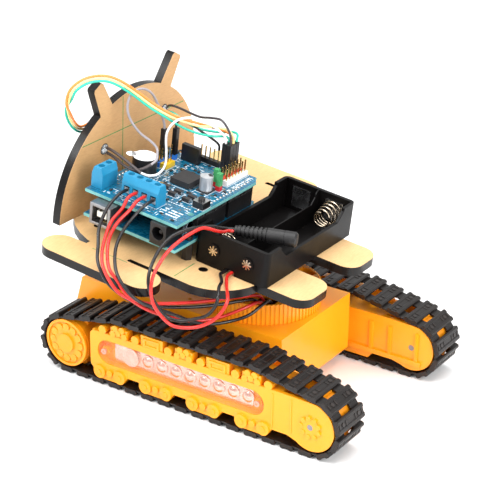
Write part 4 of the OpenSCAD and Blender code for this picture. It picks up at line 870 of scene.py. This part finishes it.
def track(s):
    """Place on the belt's outer line and the direction along it, s millimetres from its rear lower corner."""
    s %= BELT_LENGTH
    if s < WHEEL_BASE:
        return s - WHEEL_HALF, AXLE_Z - BELT_R, 0
    s -= WHEEL_BASE
    if s < ARC_LENGTH:
        g = s / BELT_R - math.pi / 2
        return WHEEL_HALF + BELT_R * math.cos(g), AXLE_Z + BELT_R * math.sin(g), g + math.pi / 2
    s -= ARC_LENGTH
    if s < SLOPE:
        return (WHEEL_HALF + BELT_R * math.sin(ARCH) - s * math.cos(ARCH),
                AXLE_Z + BELT_R * math.cos(ARCH) + s * math.sin(ARCH), math.pi - ARCH)
    s -= SLOPE
    if s < 2 * TOP_HALF:
        return TOP_HALF - s, AXLE_Z + ARCH_H + BELT_R, math.pi
    s -= 2 * TOP_HALF
    if s < SLOPE:
        return (-TOP_HALF - s * math.cos(ARCH), AXLE_Z + ARCH_H + BELT_R - s * math.sin(ARCH), math.pi + ARCH)
    g = math.pi / 2 + ARCH + (s - SLOPE) / BELT_R
    return -WHEEL_HALF + BELT_R * math.cos(g), AXLE_Z + BELT_R * math.sin(g), g + math.pi / 2


def link_place(s, y):
    """The frame of a belt link: x along the belt, y across it and z inwards."""
    x, z, g = track(s)
    along = Vector((math.cos(g), 0, math.sin(g)))
    inward = Vector((-math.sin(g), 0, math.cos(g)))
    turn = Matrix((along, Vector((0, 1, 0)), inward)).transposed().to_4x4()
    return Matrix.Translation(at(x, y, z)) @ turn


BELT_HALF = 11.0
GROOVE_HALF = 4.1
STUD_Y = (-6.6, 6.6)
RIB_Y = (-9.4, -3.9, 3.9, 9.4)
# a pad's outer outline (x, z) in the link's frame
PAD = [(-3.5, -0.5), (-3.1, -0.62), (-2.9, -0.9), (-1.6, -0.9), (-1.3, -0.5), (1.1, -0.5), (1.4, -0.9),
       (2.9, -0.9), (3.1, -0.62), (3.5, -0.5)]


def add_prism(bm, place, line, y0, y1):
    """A bar along y with the outline given as (x, z) corners."""
    ends = [[bm.verts.new(place @ (Vector((x, y, z)) * MM)) for x, z in line] for y in (y0, y1)]
    bm.faces.new(ends[0])
    bm.faces.new(ends[1][::-1])
    for k in range(len(line)):
        n = (k + 1) % len(line)
        bm.faces.new((ends[0][k], ends[1][k], ends[1][n], ends[0][n]))


def belt_links(side):
    """Stiff pads across the belt, joined by two bands, with a groove in the middle for the wheel's teeth."""
    def build(bm, place):
        for i in range(LINKS):
            s = LINK_START + i * LINK_PITCH
            here = link_place(s, side * TRACK_Y)
            add_prism(bm, here, PAD + [(3.5, 0.45), (-3.5, 0.45)], -GROOVE_HALF, GROOVE_HALF)
            after = here.inverted() @ link_place(s + LINK_PITCH, side * TRACK_Y)
            near, far = Vector((2.6, 0, 1.35)), after @ (Vector((-2.6, 0, 1.35)) * MM) / MM
            for a, b in ((-BELT_HALF, -GROOVE_HALF), (GROOVE_HALF, BELT_HALF)):
                add_prism(bm, here, PAD + [(3.5, 1.2), (2.9, 1.8), (-2.9, 1.8), (-3.5, 1.2)], a, b)
                inset = 0.5 if b > 0 else 0
                add_prism(bm, here, [(near[0], 0.9), (far[0], far[2] - 0.45), (far[0], far[2] + 0.43),
                                     (near[0], 1.78)], a + 0.5 - inset, b - inset)
        bmesh.ops.recalc_face_normals(bm, faces=bm.faces)
    return build


def belt_marks(side):
    """Round studs and short ribs in the hollow of each pad, in a slightly lighter rubber."""
    def build(bm, place):
        for i in range(LINKS):
            s = LINK_START + i * LINK_PITCH
            for y in STUD_Y:
                here = link_place(s, side * TRACK_Y + y)
                add_disc(bm, here, (-0.1, 0, -0.82), 0.95, 0.4, top=1.05, sides=16)
                add_box(bm, here, (-1.25, -0.3, -0.72), (1.05, 0.3, -0.4))
            for y in RIB_Y:
                add_box(bm, link_place(s, side * TRACK_Y + y), (-1.3, -0.35, -0.75), (1.1, 0.35, -0.4))
    return build


# two-cell holder: the cells' middle lines, the inner and outer faces of its end walls, and its plates
CELL_U = (-29.8, -11)
CELL_W = 9.15
HOLDER_NEAR, HOLDER_FAR = 33.38, -38.58
RIVET_NEAR, RIVET_FAR = 36.4, -41.5
PLATE = 0.4
SPRING_POINTS = 60


def contact_plates(bm, place):
    """A plate and a rivet at each end of each cell, and the two solder tails that the leads leave from."""
    for u in CELL_U:
        add_box(bm, place, (u - 5, HOLDER_NEAR, 4), (u + 5, HOLDER_NEAR + PLATE, 14.6))
        add_box(bm, place, (u - 5, HOLDER_FAR - PLATE, 4), (u + 5, HOLDER_FAR, 14.6))
        for v in (RIVET_NEAR - 0.6, RIVET_FAR):
            add_disc(bm, place, (u, v, CELL_W), 2.4, 0.5, "Y")
    for u0, u1, tail in ((-24.9, -20.9, -22.7), (-19.9, -15.9, -19.9)):
        add_box(bm, place, (u0, HOLDER_NEAR, 4), (u1, HOLDER_NEAR + PLATE, 6))
        add_box(bm, place, (tail, HOLDER_NEAR, 0.8), (tail + 1.8, HOLDER_NEAR + PLATE, 4.1))


def spring_line(u, v, way):
    """A cone of wire, just over four turns, from the end plate at v towards the cell."""
    line = []
    for k in range(SPRING_POINTS):
        turn, radius = math.radians(26 * k), 5.7 - 0.034 * k
        rise = 0.45 + 0.195 * k
        line.append(dk(u + radius * math.cos(turn), v + way * rise, CELL_W + radius * math.sin(turn)))
    return line


def rivet_seats(bm, place):
    for u in CELL_U:
        add_disc(bm, place, (u, RIVET_NEAR - 0.1, CELL_W), 3.3, 0.06, "Y", sides=40)


def star_rivets(bm, place):
    """Eight short arms round a flat head, on the outside of each end wall."""
    for u in CELL_U:
        for v, way in ((RIVET_NEAR, 1), (RIVET_FAR, -1)):
            for k in range(8):
                g = k * math.pi / 4
                tip = Vector((u + 2.5 * math.cos(g), v + 0.12 * way, CELL_W + 2.5 * math.sin(g)))
                add_strip(bm, place, Vector((u, v + 0.3 * way, CELL_W)), tip, 0.7, 0.35, "Y")
            add_disc(bm, place, (u, v if way > 0 else v - 0.45, CELL_W), 1.0, 0.45, "Y", sides=20)


def can_marks(bm, place):
    """The dark segment on the capacitor's top, as a fan of strips."""
    for k in range(7):
        g = math.radians(-150 + k * 10)
        outer, inner = (Vector((CAN_U + reach * math.cos(g), CAN_V + reach * math.sin(g), CAN_TOP))
                        for reach in (2.95, 1.2))
        add_strip(bm, place, outer, inner, 0.55, 0.04)


# the USB socket's inner corner: its left side, its mouth and its floor
USB_U, USB_V, USB_W = BOARD_U + 34.9, BOARD_V + 4.6, 11.8


def usb_inside(bm, place):
    """The socket's back wall and its tongue."""
    u, v, w = USB_U, USB_V, USB_W
    add_box(bm, place, (u + 0.2, v - 10, w + 0.2), (u + 8.6, v - 8.4, w + 7.6))
    add_box(bm, place, (u + 1.6, v - 9, w + 2.4), (u + 7.2, v, w + 5.4))


def usb_contacts(bm, place):
    """Two contacts on each face of the tongue, and the springs in the shell's floor and roof."""
    u, v, w = USB_U, USB_V, USB_W
    for k in (2.6, 5.2):
        for z in (2.34, 5.4):
            add_box(bm, place, (u + k, v - 7, w + z), (u + k + 1, v - 0.4, w + z + 0.06))
    for z in (1.4, 9.3):
        add_box(bm, place, (BOARD_U + 37.1, BOARD_V - 4, 10.4 + z), (BOARD_U + 41.5, BOARD_V + 3, 10.5 + z))


def label_tab(bm, place):
    """The paper label's pull tab, which hangs over the buzzer's rim."""
    end_u, end_v, width, thick = 50.6, 20.6, 5.2, 0.12
    w = BUZZER_TOP + thick / 2
    add_strip(bm, place, (BUZZER_U, BUZZER_V, w), (end_u, end_v, w), width, thick)
    add_disc(bm, place, (end_u, end_v, BUZZER_TOP), width / 2, thick)


detail("silkscreen", "silk", "board_blue", silkscreen)
detail("solder_pads", "solder", "board_blue", solder_pads)
detail("marks", "silk", "board_blue", marks)
detail("small_pads", "solder", "board_blue", small_parts(23, 70, 0.55, 0.25))
detail("small_chips", "chip", "board_blue", small_parts(37, 26, 0.8, 0.6), bevel=0.06)
# the terminal screws' crosses are painted shade
detail("screw_crosses", "recess_shade", "steel", screw_crosses)
detail("terminal_clamps", "solder", "terminal_blue", clamps)
# the window screws' crosses are painted shade
detail("window_screw_crosses", "lamp_back", "steel", window_crosses, place=Matrix.Identity(4))
detail("guide_lines", "green_line", "kraft_film", guide_lines)
for side, word in ((1, "l"), (-1, "r")):
    links = detail("belt_links_" + word, "rubber", "belt_rubber", belt_links(side), bevel=0.15,
                   place=Matrix.Identity(4))
    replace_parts(links, "belt_" + word)
    detail("belt_marks_" + word, "rubber_studs", "belt_rubber", belt_marks(side), place=Matrix.Identity(4))
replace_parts(detail("contact_plates", "steel", "steel", contact_plates), "battery_contacts")
for word, u, v, way in (("far", CELL_U[0], HOLDER_FAR, 1), ("near", CELL_U[1], HOLDER_NEAR, -1)):
    spring = tube("cell_spring_" + word, spring_line(u, v, way), 0.42 * MM, "spring", 2)[0]
    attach(spring, "chassis")
    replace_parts(spring, "battery_contacts")
detail("rivet_seats", "holder", "steel", rivet_seats)
detail("star_rivets", "spring", "steel", star_rivets)
detail("can_marks", "dark_stripe", "black_plastic", can_marks)
detail("usb_tongue", "nylon", "white_gear", usb_inside, bevel=0.15)
detail("usb_contacts", "gold", "gold_pins", usb_contacts)
detail("buzzer_label_tab", "label", "black_plastic", label_tab)


# ---------- floor, light and background ----------
def area_light(name, position, target, size, power):
    data = bpy.data.lights.new(name, "AREA")
    data.shape = "RECTANGLE"
    data.size, data.size_y = size
    data.energy = power
    obj = bpy.data.objects.new(name, data)
    obj.location = position
    obj.rotation_euler = (Vector(target) - Vector(position)).to_track_quat("-Z", "Y").to_euler()
    SCENE.collection.objects.link(obj)


floor_mesh = bpy.data.meshes.new("floor")
floor_mesh.from_pydata([(-6, -6, 0), (6, -6, 0), (6, 6, 0), (-6, 6, 0)], [], [(0, 1, 2, 3)])
floor = bpy.data.objects.new("floor", floor_mesh)
floor.location.z = -0.0002
floor_mesh.materials.append(surface("floor", (0.86, 0.86, 0.86), 0.7, 0.01, 2, 40, 0.0))
SCENE.collection.objects.link(floor)
world = bpy.data.worlds.new("studio")
world.use_nodes = True
world.node_tree.nodes["Background"].inputs["Color"].default_value = (1, 1, 1, 1)
world.node_tree.nodes["Background"].inputs["Strength"].default_value = 0.9
SCENE.world = world
area_light("key", (0.35, 0.75, 0.95), (0, 0, 0.05), (0.5, 0.5), 10.5)
area_light("top", (-0.1, -0.1, 1.1), (0, 0, 0.05), (0.8, 0.8), 8)
area_light("side", (-0.9, 0.35, 0.5), (0, 0, 0.06), (0.4, 0.6), 8)
SCENE.view_settings.view_transform = "Standard"
